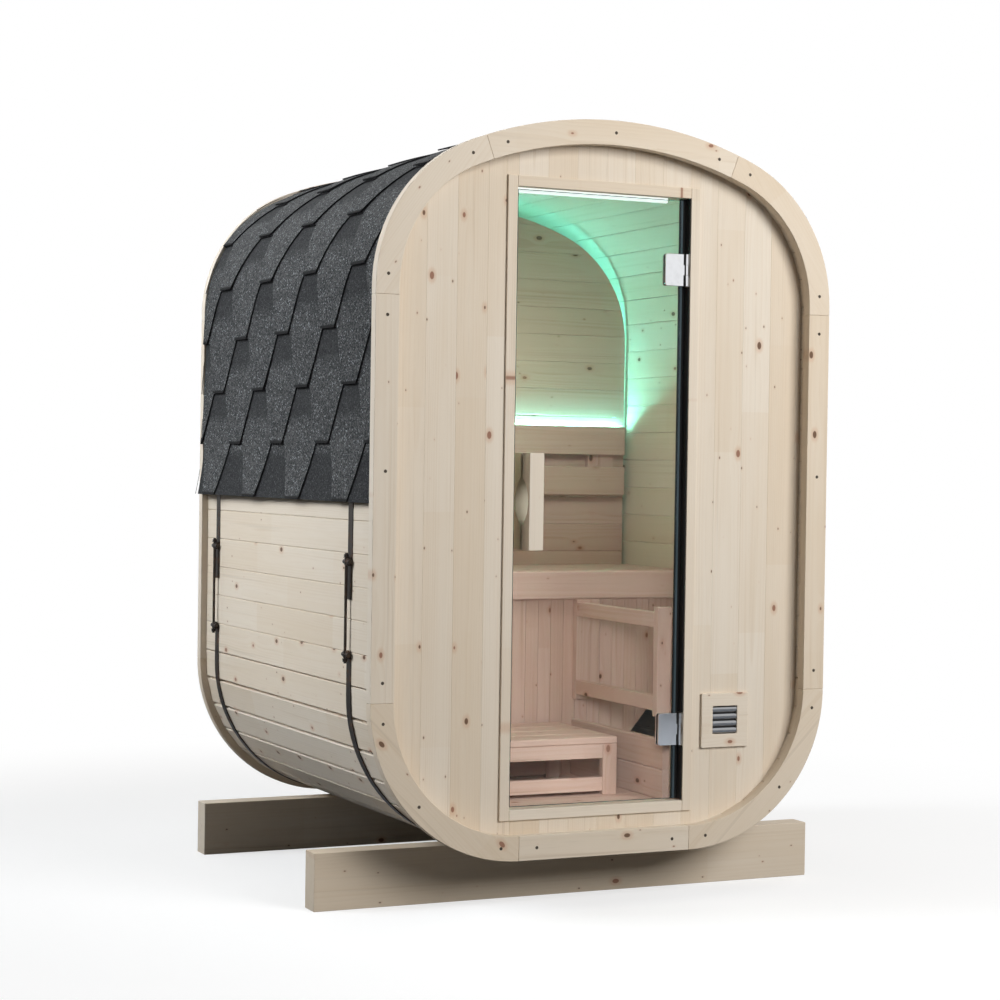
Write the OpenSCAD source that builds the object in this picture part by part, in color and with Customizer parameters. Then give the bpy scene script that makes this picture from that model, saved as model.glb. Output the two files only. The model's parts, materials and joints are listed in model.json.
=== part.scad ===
// Small outdoor sauna: a stave barrel with a flattened outline, lying on two ground beams.
// Millimetres. X to the right of the doorway, -Y is the front, +Z up.
// The origin is on the ground, under the middle of the barrel.

/* [Barrel] */
// Width across the end rings
barrel_w = 1384; // [1340:1:1460]
// Depth from the front ring's face to the rear ring's face
barrel_d = 1450; // [1400:1:1600]
// Height of the end rings, from their lowest to their highest point
barrel_h = 1985; // [1950:1:2100]
// Outer radius of the two upper corners
upper_corner_r = 420; // [400:1:440]
// Outer radius of the two lower corners
lower_corner_r = 432; // [415:1:445]
// Half of the angle that the crown's flat arc spans, in degrees
crown_angle = 22; // [20:0.5:24]
// Thickness of the staves
stave_t = 40; // [34:1:44]
// Clearance between pieces that are fitted into each other
fit_gap = 0.4; // [0.2:0.1:0.8]

/* [End rings] */
// Width of a ring's face
ring_w = 67; // [50:1:80]
// Thickness of a ring, along the barrel
ring_t = 30; // [20:1:36]
// How far a ring stands out past the staves
ring_overhang = 20; // [16:1:28]
// How far a ring's crown joint lies inside the crown's arc, in degrees
crown_joint_back = 2.4; // [1:0.1:4]
// How far a ring's upper side joint lies below the corner
side_joint_drop = 24; // [10:1:60]

/* [Ground beams] */
// Length of a beam
beam_l = 1533; // [1500:1:1700]
// Height of a beam
beam_h = 155; // [120:1:180]
// Thickness of a beam
beam_t = 67; // [50:1:90]
// Front beam's distance behind the front ring's face
front_beam_inset = 192; // [150:1:300]
// Rear beam's distance from the rear ring's face
rear_beam_inset = 259; // [200:1:320]

/* [Hoops] */
// Width of a steel hoop band
band_w = 32; // [25:1:38]
// Thickness of a steel hoop band
band_t = 2; // [1:0.5:3]
// Middle of the front hoop, behind the front ring's face
front_band_inset = 200; // [150:1:300]
// Middle of the rear hoop, from the rear ring's face
rear_band_inset = 138; // [100:1:200]
// Height of the tensioner's middle above the ring's lowest point
tensioner_up = 667; // [630:1:700]
// Distance between the two lugs of a tensioner
tensioner_l = 246; // [180:1:280]
// Height of a lug
lug_h = 26; // [18:1:34]
// How far a lug stands out from the band
lug_out = 16; // [13:1:18]
// Diameter of a tensioner's rod
rod_d = 7; // [5:0.5:8]

/* [Roofing] */
// Height of the roofing's lower edges above the ring's lowest point
roof_edge_up = 949; // [880:1:1060]
// Thickness of the roofing
roof_t = 12; // [8:1:13]

/* [Walls] */
// Depth of the end walls behind the ring's face
wall_recess = 52; // [45:1:70]
// Thickness of the end walls
wall_t = 40; // [30:1:50]

/* [Door frame] */
// Middle of the doorway, to the right of the barrel's middle
door_x = -3; // [-20:1:20]
// Width of the doorway between the jambs
door_w = 532; // [500:1:560]
// How far the doorway's head lies below the ring's highest point
head_drop = 189; // [180:1:260]
// Height of the doorway's sill above the floor
sill_up = 9; // [4:1:20]
// Face width of the door frame
frame_w = 29; // [24:1:40]
// Depth of the door frame, through the wall
frame_t = 56; // [50:1:66]
// How far the frame stands out from the wall
frame_proud = 7; // [2:1:12]
// Shadow gap between the frame's jambs and the wall
shadow_gap = 0.8; // [0.4:0.1:0.9]

/* [Door] */
// Thickness of the glass
glass_t = 8; // [6:1:10]
// Clearance between the glass and the frame
glass_gap = 6; // [5:0.5:9]
// Depth of the glass behind the frame's face
glass_set = 12; // [9:1:15]
// Width of a handle bar
handle_w = 43; // [35:1:50]
// Height of a handle bar
handle_h = 261; // [220:1:300]
// Depth of a handle bar
handle_t = 46; // [40:1:48]
// Handle's distance from the glass's free edge
handle_inset = 24; // [15:1:60]
// Height of the handle's middle above the sill
handle_up = 826; // [740:1:900]
// Height of the finger scoop, along the glass
scoop_h = 125; // [100:1:150]
// Depth of the finger scoop
scoop_t = 36; // [28:1:38]

/* [Hinges] */
// Height of a hinge
hinge_h = 88; // [75:1:100]
// Width of the plates that clamp the glass
clamp_w = 56; // [45:1:70]
// Thickness of the plates that clamp the glass
clamp_t = 5; // [4:0.5:7]
// Radius of the knuckles
knuckle_r = 7; // [6:0.5:8]
// Radius of a clamp plate's round corners
clamp_corner_r = 7; // [4:0.5:12]
// Radius of the hinge pin
pin_r = 3; // [2.5:0.1:3.5]
// Running clearance round the pin
pin_gap = 0.1; // [0.05:0.01:0.2]
// Gap between neighbouring knuckles
knuckle_gap = 0.5; // [0.3:0.1:1]
// Distance of the hinge axis from the jamb
axis_inset = 9; // [8.5:0.1:11]
// Distance of a hinge's middle from the doorway's sill or head
hinge_end = 198; // [150:1:260]
// Thickness of the leaf that is screwed to the jamb
leaf_t = 3; // [2:0.5:4]

/* [Vent] */
// Outer side of the vent's wooden frame
vent_side = 152; // [130:1:170]
// Side of the steel louvre
louvre_side = 78; // [60:1:95]
// Thickness of the vent's frame in front of the wall
vent_proud = 9; // [5:1:14]
// Gap between the door frame and the vent's frame
vent_gap = 28; // [15:1:60]
// Height of the vent's middle above the sill
vent_up = 219; // [190:1:260]
// Number of louvre slats
louvre_slats = 4; // [3:1:6]

/* [Floor and lining] */
// Thickness of the floor boards
deck_t = 26; // [18:1:30]
// Height of a floor bearer
bearer_h = 35; // [28:1:40]
// Width of a floor bearer
bearer_w = 45; // [30:1:60]
// Depth of the lining panel behind the front ring's face
lining_inset = 1075; // [1060:1:1100]
// Thickness of the lining panel
lining_t = 18; // [12:1:25]
// Light gap between the lining's upright sides and the staves
lining_gap = 12; // [6:1:30]
// Radius of the lining's two upper corners
lining_corner_r = 361; // [330:1:380]
// How far the lining's top lies below the ring's highest point
lining_drop = 118; // [100:1:140]
// Width of the upright cleats behind the lining
cleat_w = 70; // [50:1:90]
// Thickness of the upright cleats
cleat_t = 16; // [12:1:22]
// Distance of a cleat's middle from the lining's side
cleat_inset = 290; // [240:1:340]
// Width of the light strips
led_w = 10; // [6:1:14]
// Thickness of the light strips
led_t = 6; // [3:0.5:8]
// How far the edge light lies inside the lining's edge
led_inset = 22; // [14:1:40]

/* [Bench] */
// Height of the bench above the floor
bench_h = 616; // [580:1:640]
// Depth of the bench's front behind the front ring's face
bench_inset = 655; // [640:1:680]
// Thickness of the bench's boards
bench_t = 28; // [20:1:35]
// Height of the bench's front board
apron_h = 85; // [70:1:100]
// Thickness of the boarding under the bench
skirt_t = 16; // [12:1:22]
// Section of the ledger that carries the bench along the lining
ledger_side = 40; // [30:1:50]
// Foot of the boarding's slanted end, to the right of the middle
air_cut_x = 345; // [320:1:370]
// How far the boarding's slanted end leans to the right
air_cut_lean = 170; // [120:1:190]
// Height of the slanted end
air_cut_h = 206; // [160:1:230]

/* [Backrest] */
// Height of a backrest slat
slat_h = 91; // [70:1:100]
// Thickness of a backrest slat
slat_t = 20; // [15:1:28]
// Gap between the two slats
slat_gap = 38; // [25:1:60]
// Lower edge of the backrest above the bench
backrest_z = 224; // [180:1:260]
// Gap between a slat's end and the staves
slat_end_gap = 27; // [15:1:60]
// Width of a batten behind the slats
batten_w = 92; // [60:1:110]
// Thickness of a batten
batten_t = 20; // [15:1:28]
// Distance of a batten from a slat's end
batten_inset = 33; // [15:1:90]
// How far the battens end below the top slat's upper edge
batten_drop = 14; // [8:1:25]

/* [Heater guard] */
// Left side of the guard, to the right of the barrel's middle
guard_x = 243; // [230:1:260]
// Height of a guard rail
rail_h = 42; // [34:1:48]
// Thickness of a guard rail
rail_t = 26; // [18:1:32]
// Width of the guard's posts
post_w = 46; // [36:1:60]
// Gap between the front wall and the front post
post_gap = 60; // [40:1:90]
// How far the front post rises past the lower edge of the bench's front board
post_rise = 7; // [2:1:20]
// How far the upper rail lies below that edge
rail_drop = 9; // [4:1:20]
// Height of the guard's posts
post_h = 309; // [290:1:330]
// How far the lower rail lies above a post's lower end
rail_end = 16; // [10:1:30]
// Width of the wall batten that carries the guard
guard_batten_w = 75; // [50:1:90]
// Height of the low board in front of the heater
kick_h = 168; // [140:1:190]
// Thickness of the low board
kick_t = 22; // [15:1:30]

/* [Step stool] */
// Width of the stool
stool_w = 400; // [350:1:420]
// Depth of the stool
stool_d = 380; // [330:1:390]
// Height of the stool
stool_h = 164; // [140:1:200]
// Thickness of the stool's top
stool_top_t = 20; // [15:1:26]
// Right side of the stool, to the right of the barrel's middle
stool_x = 178; // [150:1:200]
// Gap between the stool and the bench's front
stool_back_gap = 4; // [2:1:20]
// Width of the stool's legs
leg_w = 45; // [35:1:50]
// Thickness of the stool's legs and rails
leg_t = 20; // [16:1:26]
// Height of the stool's rails
stool_rail_h = 40; // [30:1:45]
// Distance of the stool's lower rail from the floor
stool_rail_z = 11; // [6:1:20]

/* [Hidden] */
$fn = 96;

// Colours of the finishes
pale_spruce = [0.87, 0.80, 0.70];
warm_spruce = [0.83, 0.73, 0.58];
steel = [0.80, 0.81, 0.82];
dark_steel = [0.22, 0.20, 0.18];
shingle_grey = [0.27, 0.28, 0.30];
glass_tint = [0.75, 0.85, 0.83, 0.35];
light_teal = [0.60, 0.95, 0.82];

// The outline: a crown arc, two upper corners, upright sides, two lower corners and a flat bottom
ring_bottom_z = beam_h - ring_overhang;
ring_top_z = ring_bottom_z + barrel_h;
upper_cx = barrel_w / 2 - upper_corner_r;
lower_cx = barrel_w / 2 - lower_corner_r;
crown_r = upper_corner_r + upper_cx / sin(crown_angle);
crown_cz = ring_top_z - crown_r;
upper_cz = crown_cz + (crown_r - upper_corner_r) * cos(crown_angle);
lower_cz = ring_bottom_z + lower_corner_r;
crown_joint_angle = crown_angle - crown_joint_back;
side_joint_z = upper_cz - side_joint_drop;
inner = ring_overhang + stave_t;
shell_floor_z = ring_bottom_z + inner;
deck_bottom_z = shell_floor_z + bearer_h;
floor_z = deck_bottom_z + deck_t;
tensioner_z = ring_bottom_z + tensioner_up;
roof_edge_z = ring_bottom_z + roof_edge_up;
inner_half_w = barrel_w / 2 - inner;
far = 2 * barrel_h;

// Depths along Y, counted from the barrel's middle
front_y = -barrel_d / 2;
rear_y = barrel_d / 2;
wall_y = front_y + wall_recess;
rear_wall_y = rear_y - wall_recess - wall_t;
front_band_y = front_y + front_band_inset;
rear_band_y = rear_y - rear_band_inset;
groove_half_l = lower_cx + 3 * band_w;
frame_y = wall_y - frame_proud;
glass_y = frame_y + glass_set;
room_y = max(wall_y + wall_t, frame_y + frame_t) + fit_gap;
lining_y = front_y + lining_inset;
bench_y = front_y + bench_inset;
skirt_y = bench_y + bench_t;
post_y = room_y + post_gap;

// The doorway and the door
door_left = door_x - door_w / 2;
door_right = door_x + door_w / 2;
sill_z = floor_z + sill_up;
head_z = ring_top_z - head_drop;
handle_z = sill_z + handle_up;
axis_x = door_right - axis_inset;
axis_y = glass_y - clamp_t / 2;
glass_left = door_left + glass_gap;
glass_right = axis_x - knuckle_r - 3;
handle_x = glass_left + handle_inset;
scoop_r = (pow(scoop_h / 2, 2) + pow(scoop_t, 2)) / (2 * scoop_t);
knuckle_h = hinge_h / 3;
hinge_zs = [sill_z + hinge_end, head_z - hinge_end];

// The inside
vent_x = door_right + frame_w + vent_gap + vent_side / 2;
vent_z = sill_z + vent_up;
lining_half_w = inner_half_w - lining_gap;
lining_crown_r = crown_r - lining_drop;
lining_cx = lining_half_w - lining_corner_r;
lining_reach = lining_crown_r - lining_corner_r;
lining_angle = asin(lining_cx / lining_reach);
lining_cz = crown_cz + lining_reach * cos(lining_angle);
cleat_x = lining_half_w - cleat_inset;
bench_z = floor_z + bench_h;
apron_z = bench_z - apron_h;
seat_bottom_z = bench_z - bench_t;
slat_half_l = inner_half_w - slat_end_gap;
batten_x = slat_half_l - batten_inset - batten_w / 2;
slat_zs = [bench_z + backrest_z, bench_z + backrest_z + slat_h + slat_gap];
batten_top_z = slat_zs[1] + slat_h - batten_drop;
slat_y = lining_y - batten_t - slat_t;
guard_top_z = apron_z + post_rise;
post_bottom_z = guard_top_z - post_h;
guard_rail_zs = [post_bottom_z + rail_end, apron_z - rail_drop - rail_h];
guard_batten_y = skirt_y - rail_t;
stool_back_y = bench_y - stool_back_gap;
stool_front_y = stool_back_y - stool_d;
stool_left = stool_x - stool_w;
stool_under_z = floor_z + stool_h - stool_top_t;
stool_rail_zs = [floor_z + stool_rail_z, stool_under_z - stool_rail_h];

// Half width of the room inside the staves at a height in the lower corners
function room_half_w(z) =
  z >= lower_cz ? inner_half_w
  : lower_cx + sqrt(pow(lower_corner_r - inner, 2) - pow(lower_cz - z, 2));

// A box between two corners
module block(low, high) translate(low) cube(high - low);

// A flat outline in X and Z, pulled along Y from y to y + t
module slab(y, t) translate([0, y + t, 0]) rotate([90, 0, 0]) linear_extrude(t) children();

// The wedge above the crown's centre
module crown_wedge(angle)
  polygon([[0, crown_cz], [-far * tan(angle), crown_cz + far], [far * tan(angle), crown_cz + far]]);

// The barrel's outline, moved inwards by an inset
module outline(inset) {
  intersection() {
    translate([0, crown_cz]) circle(crown_r - inset);
    crown_wedge(crown_angle);
  }
  for (side = [-1, 1]) {
    translate([side * upper_cx, upper_cz]) circle(upper_corner_r - inset);
    translate([side * lower_cx, lower_cz]) circle(lower_corner_r - inset);
  }
  translate([-barrel_w / 2 + inset, lower_cz]) square([barrel_w - 2 * inset, upper_cz - lower_cz]);
  translate([-lower_cx, ring_bottom_z + inset]) square([2 * lower_cx, lower_cz - ring_bottom_z - inset]);
}

// A closed band between two insets of the outline
module outline_band(outer_inset, inner_inset) difference() {
  outline(outer_inset);
  outline(inner_inset);
}

// Everything between two heights
module zone(low_z, high_z) translate([-far / 2, low_z]) square([far, high_z - low_z]);

// Everything on both sides beyond a distance from the middle
module outside(x) for (side = [0, 1]) mirror([side, 0]) translate([x, 0]) square([far, far]);

// The section of the staves
module stave_band() outline_band(ring_overhang, inner);

// The section of an end ring
module ring_band() outline_band(0, ring_w);

// Staves run from the front ring to the rear ring
module stave_run() slab(front_y + ring_t, barrel_d - 2 * ring_t) children();

// A ring piece at each end of the barrel
module at_both_ends() for (y = [front_y, rear_y - ring_t]) slab(y, ring_t) children();

module ground_beams() color(pale_spruce) difference() {
  for (y = [front_y + front_beam_inset, rear_y - rear_beam_inset - beam_t])
    block([-beam_l / 2, y, 0], [beam_l / 2, y + beam_t, beam_h]);
  for (y = [front_band_y, rear_band_y])
    block([-groove_half_l, y - band_w / 2 - band_t, beam_h - 2 * band_t],
          [groove_half_l, y + band_w / 2 + band_t, beam_h + band_t]);
}

module floor_staves() color(warm_spruce) stave_run() intersection() {
  stave_band();
  translate([-lower_cx, 0]) square([2 * lower_cx, lower_cz]);
}

module lower_corner_staves() color(pale_spruce) stave_run() intersection() {
  stave_band();
  zone(0, lower_cz);
  outside(lower_cx);
}

module side_staves() color(pale_spruce) stave_run() intersection() {
  stave_band();
  zone(lower_cz, upper_cz);
}

module upper_corner_staves() color(pale_spruce) stave_run() difference() {
  stave_band();
  zone(0, upper_cz);
  crown_wedge(crown_angle);
}

module crown_staves() color(pale_spruce) stave_run() intersection() {
  stave_band();
  crown_wedge(crown_angle);
}

module ring_crowns() color(pale_spruce) at_both_ends() intersection() {
  ring_band();
  crown_wedge(crown_joint_angle);
}

module ring_upper_corners() color(pale_spruce) at_both_ends() difference() {
  ring_band();
  zone(0, side_joint_z);
  crown_wedge(crown_joint_angle);
}

module ring_sides() color(pale_spruce) at_both_ends() intersection() {
  ring_band();
  zone(lower_cz, side_joint_z);
}

module ring_lower_corners() color(pale_spruce) at_both_ends() intersection() {
  ring_band();
  zone(0, lower_cz);
  outside(lower_cx);
}

module ring_bottoms() color(pale_spruce) at_both_ends() intersection() {
  ring_band();
  translate([-lower_cx, 0]) square([2 * lower_cx, lower_cz]);
}

// The hoops are open on the left, where a tensioner draws their ends together
module hoop_bands() color(dark_steel) for (y = [front_band_y, rear_band_y])
  slab(y - band_w / 2, band_w) difference() {
    outline_band(ring_overhang - band_t, ring_overhang);
    translate([-far, tensioner_z - tensioner_l / 2]) square([far, tensioner_l]);
  }

module hoop_tensioners() color(dark_steel) for (y = [front_band_y, rear_band_y]) {
  band_x = -barrel_w / 2 + ring_overhang - band_t;
  rod_x = band_x - lug_out + rod_d;
  for (side = [-1, 1]) {
    lug_z = tensioner_z + side * tensioner_l / 2;
    block([band_x - lug_out, y - band_w / 2, min(lug_z, lug_z + side * lug_h)],
          [band_x, y + band_w / 2, max(lug_z, lug_z + side * lug_h)]);
  }
  translate([rod_x, y, tensioner_z]) cylinder(d = rod_d, h = tensioner_l + lug_h, center = true);
}

module roofing() color(shingle_grey)
  slab(front_y + ring_t + fit_gap, barrel_d - 2 * ring_t - 2 * fit_gap) intersection() {
    outline_band(ring_overhang - band_t - roof_t, ring_overhang - band_t);
    zone(roof_edge_z, far);
  }

// The end wall's outline inside the staves
module wall_outline() outline(inner + fit_gap);

// The front wall stands back from the door frame by the shadow gap
module front_wall_part() color(pale_spruce) slab(wall_y, wall_t) intersection() {
  wall_outline();
  children();
}

module front_wall_left() front_wall_part()
  translate([-far, 0]) square([far + door_left - frame_w - shadow_gap, far]);

module front_wall_right() difference() {
  front_wall_part() translate([door_right + frame_w + shadow_gap, 0]) square([far, far]);
  translate([vent_x, wall_y + wall_t / 2, vent_z])
    cube([louvre_side * 0.8, wall_t * 2, louvre_side * 0.8], center = true);
}

module front_wall_over_door() front_wall_part()
  translate([door_left - frame_w - shadow_gap, head_z + frame_w])
    square([door_w + 2 * frame_w + 2 * shadow_gap, far]);

module front_wall_under_door() front_wall_part()
  translate([door_left - frame_w - shadow_gap, 0])
    square([door_w + 2 * frame_w + 2 * shadow_gap, sill_z - frame_w]);

module rear_wall() color(pale_spruce) slab(rear_wall_y, wall_t) wall_outline();

module door_frame_jambs() color(warm_spruce) for (x = [door_left - frame_w, door_right])
  block([x, frame_y, sill_z - frame_w], [x + frame_w, frame_y + frame_t, head_z + frame_w]);

module door_frame_rails() color(warm_spruce) for (z = [sill_z - frame_w, head_z])
  block([door_left, frame_y, z], [door_right, frame_y + frame_t, z + frame_w]);

module door_glass() color(glass_tint)
  block([glass_left, glass_y, sill_z + glass_gap], [glass_right, glass_y + glass_t, head_z - glass_gap]);

// A handle bar on each face of the glass, with a round scoop for the fingers beside the glass
module door_handles() color(pale_spruce) for (side = [-1, 1]) {
  face_y = side < 0 ? glass_y : glass_y + glass_t;
  difference() {
    block([handle_x, min(face_y, face_y + side * handle_t), handle_z - handle_h / 2],
          [handle_x + handle_w, max(face_y, face_y + side * handle_t), handle_z + handle_h / 2]);
    translate([handle_x + handle_w / 2, face_y + side * (scoop_t - scoop_r), handle_z])
      rotate([0, 90, 0]) cylinder(r = scoop_r, h = handle_w * 2, center = true);
  }
}

// The face of a clamp plate, with two round corners away from the pin
module clamp_face(left, right, z) {
  for (side = [-1, 1]) translate([left + clamp_corner_r, z + side * (hinge_h / 2 - clamp_corner_r)])
    circle(clamp_corner_r);
  translate([left, z - hinge_h / 2 + clamp_corner_r]) square([clamp_corner_r, hinge_h - 2 * clamp_corner_r]);
  translate([left + clamp_corner_r, z - hinge_h / 2]) square([right - left - clamp_corner_r, hinge_h]);
}

// Two plates clamp the glass; the front one carries the middle knuckle
module hinge_clamps() color(steel) for (z = hinge_zs) {
  plate_right = axis_x - knuckle_r - 2;
  plate_left = glass_right - clamp_w;
  slab(glass_y + glass_t, clamp_t) clamp_face(plate_left, glass_right, z);
  difference() {
    union() {
      slab(glass_y - clamp_t, clamp_t) clamp_face(plate_left, plate_right, z);
      block([plate_right - 1, glass_y - clamp_t, z - knuckle_h / 2 + knuckle_gap],
            [axis_x, glass_y, z + knuckle_h / 2 - knuckle_gap]);
      translate([axis_x, axis_y, z]) cylinder(r = knuckle_r, h = knuckle_h - 2 * knuckle_gap, center = true);
    }
    translate([axis_x, axis_y, z]) cylinder(r = pin_r + pin_gap, h = hinge_h * 2, center = true);
  }
}

// The jamb's leaf carries the outer knuckles and the pin
module hinge_leaves() color(steel) for (z = hinge_zs) {
  translate([axis_x, axis_y, z]) cylinder(r = pin_r, h = hinge_h, center = true);
  for (side = [-1, 1]) {
    knuckle_z = z + side * knuckle_h;
    translate([axis_x, axis_y, knuckle_z]) cylinder(r = knuckle_r, h = knuckle_h, center = true);
    block([axis_x, axis_y - knuckle_r / 2, knuckle_z - knuckle_h / 2],
          [door_right, axis_y + knuckle_r / 2, knuckle_z + knuckle_h / 2]);
  }
  block([door_right - leaf_t, axis_y + knuckle_r + leaf_t, z - hinge_h / 2],
        [door_right, axis_y + knuckle_r + leaf_t + clamp_w / 2, z + hinge_h / 2]);
  for (side = [-1, 1])
    block([door_right - leaf_t, axis_y, z + side * knuckle_h - knuckle_h / 2],
          [door_right, axis_y + knuckle_r + 2 * leaf_t, z + side * knuckle_h + knuckle_h / 2]);
}

module vent_frame() color(pale_spruce) difference() {
  translate([vent_x, wall_y - vent_proud / 2, vent_z]) cube([vent_side, vent_proud, vent_side], center = true);
  translate([vent_x, wall_y, vent_z]) cube([louvre_side, wall_t, louvre_side], center = true);
}

// Sloping slats between the cheeks of a square steel frame
module vent_louvre() color(steel) {
  lip = louvre_side * 0.08;
  pitch = (louvre_side - 2 * lip) / louvre_slats;
  translate([vent_x, wall_y - vent_proud / 2, vent_z]) {
    difference() {
      cube([louvre_side, vent_proud, louvre_side], center = true);
      cube([louvre_side - 2 * lip, vent_proud * 2, louvre_side - 2 * lip], center = true);
    }
    intersection() {
      cube([louvre_side - lip, vent_proud, louvre_side - lip], center = true);
      for (i = [0 : louvre_slats - 1])
        translate([0, 0, (i + 0.5) * pitch - louvre_side / 2 + lip])
          rotate([-40, 0, 0]) cube([louvre_side, vent_proud * 2, pitch * 0.12], center = true);
    }
  }
}

module floor_deck() color(warm_spruce) {
  half_w = room_half_w(deck_bottom_z) - fit_gap;
  block([-half_w, room_y, deck_bottom_z], [half_w, rear_wall_y - fit_gap, floor_z]);
}

module floor_bearers() color(warm_spruce) for (x = [-lower_cx + bearer_w, 0, lower_cx - bearer_w])
  block([x - bearer_w / 2, room_y, shell_floor_z],
        [x + bearer_w / 2, rear_wall_y - fit_gap, deck_bottom_z]);

// The lining is a panel that stands on the floor, clear of the staves: a crown arc over two round corners
module lining_outline(inset) intersection() {
  union() {
    intersection() {
      translate([0, crown_cz]) circle(lining_crown_r - inset);
      crown_wedge(lining_angle);
    }
    for (side = [-1, 1]) translate([side * lining_cx, lining_cz]) circle(lining_corner_r - inset);
    translate([-lining_half_w + inset, floor_z + inset])
      square([2 * (lining_half_w - inset), lining_cz - floor_z - inset]);
  }
  outline(inner + lining_gap + inset);
}

module lining_panel() color(warm_spruce) slab(lining_y, lining_t) lining_outline(0);

module lining_cleats() color(warm_spruce) for (side = [-1, 1])
  block([side * cleat_x - cleat_w / 2, lining_y + lining_t, floor_z],
        [side * cleat_x + cleat_w / 2, lining_y + lining_t + cleat_t, lining_cz + lining_corner_r / 4]);

// One light strip runs round behind the lining's edge, another lies on top of the backrest's battens
module light_strips() color(light_teal) {
  slab(lining_y + lining_t, led_t) intersection() {
    difference() {
      lining_outline(led_inset);
      lining_outline(led_inset + led_w);
    }
    zone(slat_zs[1] + slat_h / 2, far);
  }
  block([-slat_half_l, lining_y - led_w, batten_top_z], [slat_half_l, lining_y, batten_top_z + led_t]);
}

module bench_seat() color(warm_spruce)
  block([-inner_half_w + fit_gap, skirt_y, seat_bottom_z],
        [inner_half_w - fit_gap, lining_y - fit_gap, bench_z]);

module bench_apron() color(warm_spruce)
  block([-inner_half_w + fit_gap, bench_y, apron_z], [inner_half_w - fit_gap, skirt_y, bench_z]);

// Upright boarding under the bench; a slanted end leaves an air opening beside the heater's place
module bench_skirt() color(warm_spruce) slab(skirt_y, skirt_t) difference() {
  intersection() {
    wall_outline();
    zone(floor_z, seat_bottom_z);
  }
  polygon([[air_cut_x, floor_z], [far, floor_z], [far, floor_z + air_cut_h],
           [air_cut_x + air_cut_lean, floor_z + air_cut_h]]);
}

module bench_ledger() color(warm_spruce)
  block([-lining_half_w + ledger_side, lining_y - ledger_side, seat_bottom_z - ledger_side],
        [lining_half_w - ledger_side, lining_y, seat_bottom_z]);

module backrest_slats() color(warm_spruce) for (z = slat_zs)
  block([-slat_half_l, slat_y, z], [slat_half_l, slat_y + slat_t, z + slat_h]);

module backrest_battens() color(warm_spruce) for (side = [-1, 1])
  block([side * batten_x - batten_w / 2, lining_y - batten_t, slat_zs[0]],
        [side * batten_x + batten_w / 2, lining_y, batten_top_z]);

// Rails run from the bench to the front post, and from there to the side of the barrel
module guard_rails() color(warm_spruce) for (z = guard_rail_zs) {
  block([guard_x, post_y + rail_t, z], [guard_x + rail_t, guard_batten_y, z + rail_h]);
  block([guard_x + rail_t + fit_gap, post_y + rail_t, z],
        [room_half_w(z) - fit_gap, post_y + 2 * rail_t, z + rail_h]);
}

module guard_posts() color(warm_spruce) {
  block([guard_x, post_y, post_bottom_z], [guard_x + post_w, post_y + rail_t, guard_top_z]);
  block([guard_x, guard_batten_y, post_bottom_z], [guard_x + guard_batten_w, skirt_y, apron_z]);
}

module kick_board() color(warm_spruce)
  block([guard_x, room_y + kick_t, floor_z], [guard_x + kick_t, skirt_y - fit_gap, floor_z + kick_h]);

module stool_top() color(warm_spruce)
  block([stool_left, stool_front_y, stool_under_z], [stool_x, stool_back_y, floor_z + stool_h]);

module stool_legs() color(warm_spruce)
  for (x = [stool_left, stool_x - leg_w], y = [stool_front_y, stool_back_y - leg_t])
    block([x, y, floor_z], [x + leg_w, y + leg_t, stool_under_z]);

// Rails along the front and the back, and one across each side
module stool_rails() color(warm_spruce) {
  for (y = [stool_front_y, stool_back_y - leg_t], z = stool_rail_zs)
    block([stool_left + leg_w, y, z], [stool_x - leg_w, y + leg_t, z + stool_rail_h]);
  for (x = [stool_left, stool_x - leg_t])
    block([x, stool_front_y + leg_t, stool_rail_zs[1]], [x + leg_t, stool_back_y - leg_t, stool_under_z]);
}

ground_beams();
floor_staves();
lower_corner_staves();
side_staves();
upper_corner_staves();
crown_staves();
ring_crowns();
ring_upper_corners();
ring_sides();
ring_lower_corners();
ring_bottoms();
hoop_bands();
hoop_tensioners();
roofing();
front_wall_left();
front_wall_right();
front_wall_over_door();
front_wall_under_door();
rear_wall();
door_frame_jambs();
door_frame_rails();
door_glass();
door_handles();
hinge_clamps();
hinge_leaves();
vent_frame();
vent_louvre();
floor_deck();
floor_bearers();
lining_panel();
lining_cleats();
light_strips();
bench_seat();
bench_apron();
bench_skirt();
bench_ledger();
backrest_slats();
backrest_battens();
guard_rails();
guard_posts();
kick_board();
stool_top();
stool_legs();
stool_rails();
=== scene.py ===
"""Looks of a small outdoor sauna: staves, end rings, shingles, hoops, glass door and inner fittings.

Each piece is laid over its CAD node in the shared frame. The sidebar panel lists the same steps.
"""

import json
import math
import random
from collections import namedtuple
from contextlib import contextmanager

import bpy
import numpy as np
from mathutils import Matrix, Vector

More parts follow.
